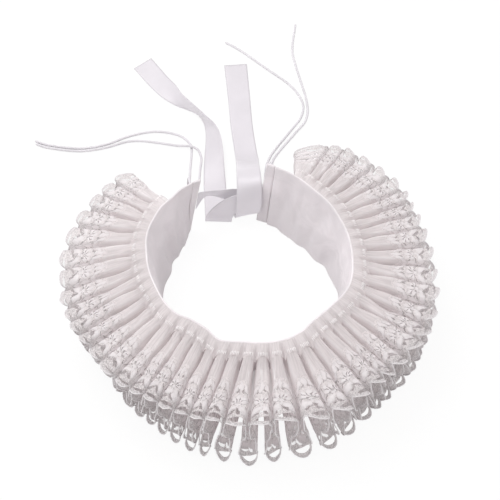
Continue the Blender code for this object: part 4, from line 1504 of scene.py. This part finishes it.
class RuffleOperator(Operator):
    """Pleat the four lengths of embroidered organza, and sew them on"""
    bl_idname = "ruff_collar.ruffle"
    bl_label = "Ruffle"

    def execute(self, context):
        sizes = context.scene.ruff_collar_sizes
        lace = material_for(context, "lace_organza_cloth")
        thread = material_for(context, "lace_thread")
        cording = material_for(context, "lace_cording")
        for name, start, end in RUFFLE_LENGTHS:
            points, skip, uvs, fields = ruffle_sheet(start, end, sizes.relief / MM)
            piece = make_piece(name + "_lace", points, grid_faces(*points.shape[:2], skip=skip),
                               lace, uvs, fields)
            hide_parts(name)
            corded, quads = edge_cord(points, sizes.cording / MM, sizes.knot / MM)
            cords = make_piece(name + "_cording", corded, quads, cording,
                               corded[..., :2])
        points, uvs = heading_grid()
        plain = np.full(points.shape[:2], OUTSIDE_MOTIFS)
        heading = make_piece("ruffle_heading", points, grid_faces(*points.shape[:2]), lace,
                             uvs,
                             {"border": plain, "beside_border": plain,
                              "crease": np.full_like(plain, HEADING_PALENESS)})
        corded, quads = ruffle_stitches(sizes.stitch / MM, sizes.strand / MM)
        stitches = make_piece("ruffle_stitches", corded, quads, thread,
                              corded[..., :2])
        return {"FINISHED"}


class TiesOperator(Operator):
    """Lay the two satin ribbon ties"""
    bl_idname = "ruff_collar.ties"
    bl_label = "Ribbon ties"

    def execute(self, context):
        finish = material_for(context, "satin_ribbon_cloth")
        for name, sections in (("tie_right", TIE_RIGHT_SECTIONS), ("tie_left", TIE_LEFT_SECTIONS)):
            points, uvs, length = ribbon_grid(sections)
            tie = make_piece(name + "_satin", points, closed_faces(*points.shape[:2]), finish,
                             uvs)
            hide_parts(name)
        return {"FINISHED"}


OPERATORS = (StageOperator, CordsOperator, BandOperator, RuffleOperator, TiesOperator)
SETTINGS = {"ruff_collar_looks": RuffCollarLooks, "ruff_collar_sizes": RuffCollarSizes,
            "ruff_collar_stage": RuffCollarStage}


class RuffCollarPanel(Panel):
    """Lists the collar's pieces and settings"""
    bl_idname = "VIEW3D_PT_ruff_collar"
    bl_label = "Ruff Collar"
    bl_space_type = "VIEW_3D"
    bl_region_type = "UI"
    bl_category = "Ruff Collar"

    def draw(self, context):
        for key, kind in SETTINGS.items():
            box = self.layout.box()
            for field in kind.__annotations__:
                box.prop(getattr(context.scene, key), field)
        for operator in OPERATORS:
            self.layout.operator(operator.bl_idname)


CLASSES = (*SETTINGS.values(), *OPERATORS, RuffCollarPanel)


def register():
    """Add the settings, the operators and the panel."""
    for made in CLASSES:
        bpy.utils.register_class(made)
    for key, kind in SETTINGS.items():
        setattr(bpy.types.Scene, key, PointerProperty(type=kind))


def unregister():
    """Take them away again."""
    for key in SETTINGS:
        delattr(bpy.types.Scene, key)
    for made in reversed(CLASSES):
        bpy.utils.unregister_class(made)


def main():
    """Register the add-on and make every piece in order."""
    register()
    bpy.ops.ruff_collar.stage()
    bpy.ops.ruff_collar.cords()
    bpy.ops.ruff_collar.band()
    bpy.ops.ruff_collar.ruffle()
    bpy.ops.ruff_collar.ties()


if __name__ == "__main__":
    main()
